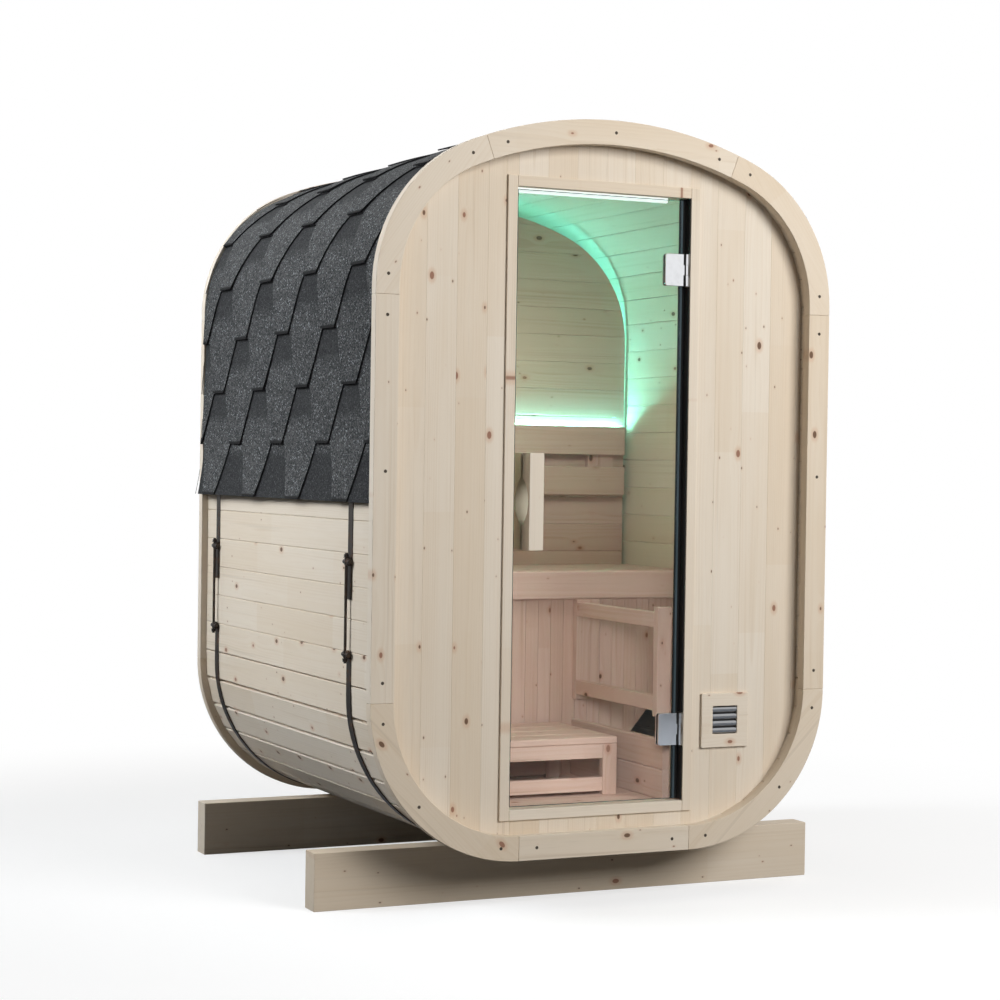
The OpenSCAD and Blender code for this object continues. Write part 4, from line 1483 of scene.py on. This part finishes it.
class SAUNA_OT_rings(bpy.types.Operator):
    """Make the end rings and their screws"""

    bl_idname = "sauna.rings"
    bl_label = "End rings"

    def execute(self, context):
        build_rings(context.scene.sauna_sizes)
        return {"FINISHED"}


class SAUNA_OT_beams(bpy.types.Operator):
    """Make the ground beams"""

    bl_idname = "sauna.beams"
    bl_label = "Ground beams"

    def execute(self, context):
        build_beams(context.scene.sauna_sizes)
        return {"FINISHED"}


class SAUNA_OT_roofing(bpy.types.Operator):
    """Lay the shingles and the ridge caps"""

    bl_idname = "sauna.roofing"
    bl_label = "Shingles"

    def execute(self, context):
        build_roofing(context.scene.sauna_sizes)
        return {"FINISHED"}


class SAUNA_OT_hoops(bpy.types.Operator):
    """Make the steel hoops"""

    bl_idname = "sauna.hoops"
    bl_label = "Hoops"

    def execute(self, context):
        build_hoops()
        return {"FINISHED"}


class SAUNA_OT_tensioners(bpy.types.Operator):
    """Make the hoops' tensioners"""

    bl_idname = "sauna.tensioners"
    bl_label = "Tensioners"

    def execute(self, context):
        build_tensioners()
        return {"FINISHED"}


class SAUNA_OT_end_walls(bpy.types.Operator):
    """Board the end walls"""

    bl_idname = "sauna.end_walls"
    bl_label = "End walls"

    def execute(self, context):
        build_end_walls(context.scene.sauna_sizes)
        return {"FINISHED"}


class SAUNA_OT_door_frame(bpy.types.Operator):
    """Make the door frame"""

    bl_idname = "sauna.door_frame"
    bl_label = "Door frame"

    def execute(self, context):
        build_door_frame(context.scene.sauna_sizes)
        return {"FINISHED"}


class SAUNA_OT_door(bpy.types.Operator):
    """Make the glass door, its handles and hinges"""

    bl_idname = "sauna.door"
    bl_label = "Glass door"

    def execute(self, context):
        build_door(context.scene.sauna_sizes)
        return {"FINISHED"}


class SAUNA_OT_vent(bpy.types.Operator):
    """Make the vent"""

    bl_idname = "sauna.vent"
    bl_label = "Vent"

    def execute(self, context):
        build_vent(context.scene.sauna_sizes)
        return {"FINISHED"}


class SAUNA_OT_floor(bpy.types.Operator):
    """Lay the floor inside"""

    bl_idname = "sauna.floor"
    bl_label = "Floor"

    def execute(self, context):
        build_floor(context.scene.sauna_sizes)
        return {"FINISHED"}


class SAUNA_OT_lining(bpy.types.Operator):
    """Make the lining and its light strips"""

    bl_idname = "sauna.lining"
    bl_label = "Lining"

    def execute(self, context):
        build_lining(context.scene.sauna_sizes)
        return {"FINISHED"}


class SAUNA_OT_bench(bpy.types.Operator):
    """Make the bench"""

    bl_idname = "sauna.bench"
    bl_label = "Bench"

    def execute(self, context):
        build_bench(context.scene.sauna_sizes)
        return {"FINISHED"}


class SAUNA_OT_backrest(bpy.types.Operator):
    """Make the backrest"""

    bl_idname = "sauna.backrest"
    bl_label = "Backrest"

    def execute(self, context):
        build_backrest(context.scene.sauna_sizes)
        return {"FINISHED"}


class SAUNA_OT_guard(bpy.types.Operator):
    """Make the heater guard"""

    bl_idname = "sauna.guard"
    bl_label = "Heater guard"

    def execute(self, context):
        build_guard(context.scene.sauna_sizes)
        return {"FINISHED"}


class SAUNA_OT_stool(bpy.types.Operator):
    """Make the step stool"""

    bl_idname = "sauna.stool"
    bl_label = "Step stool"

    def execute(self, context):
        build_stool(context.scene.sauna_sizes)
        return {"FINISHED"}


class SAUNA_OT_stage(bpy.types.Operator):
    """Set up the floor, the lamps and the camera"""

    bl_idname = "sauna.stage"
    bl_label = "Stage"

    def execute(self, context):
        build_stage()
        return {"FINISHED"}


STEPS = (
    SAUNA_OT_staves, SAUNA_OT_rings, SAUNA_OT_beams, SAUNA_OT_roofing, SAUNA_OT_hoops, SAUNA_OT_tensioners,
    SAUNA_OT_end_walls, SAUNA_OT_door_frame, SAUNA_OT_door, SAUNA_OT_vent, SAUNA_OT_floor, SAUNA_OT_lining,
    SAUNA_OT_bench, SAUNA_OT_backrest, SAUNA_OT_guard, SAUNA_OT_stool, SAUNA_OT_stage,
)


class SAUNA_PT_panel(bpy.types.Panel):
    """Lists the sauna's steps and sizes"""

    bl_idname = "SAUNA_PT_panel"
    bl_label = "Outdoor Sauna"
    bl_space_type = "VIEW_3D"
    bl_region_type = "UI"
    bl_category = "Sauna"

    def draw(self, context):
        for step in STEPS:
            self.layout.operator(step.bl_idname)
        for group in (context.scene.sauna_sizes, context.scene.sauna_colours):
            for name in group.bl_rna.properties.keys():
                if name not in ("rna_type", "name"):
                    self.layout.prop(group, name)


CLASSES = (SaunaSizes, SaunaColours, *STEPS, SAUNA_PT_panel)


def register():
    for cls in CLASSES:
        bpy.utils.register_class(cls)
    bpy.types.Scene.sauna_sizes = bpy.props.PointerProperty(type=SaunaSizes)
    bpy.types.Scene.sauna_colours = bpy.props.PointerProperty(type=SaunaColours)


def unregister():
    del bpy.types.Scene.sauna_colours
    del bpy.types.Scene.sauna_sizes
    for cls in reversed(CLASSES):
        bpy.utils.unregister_class(cls)


def main():
    register()
    for step in STEPS:
        group, name = step.bl_idname.split(".")
        getattr(getattr(bpy.ops, group), name)()
    bpy.context.view_layer.update()


if __name__ == "__main__":
    main()
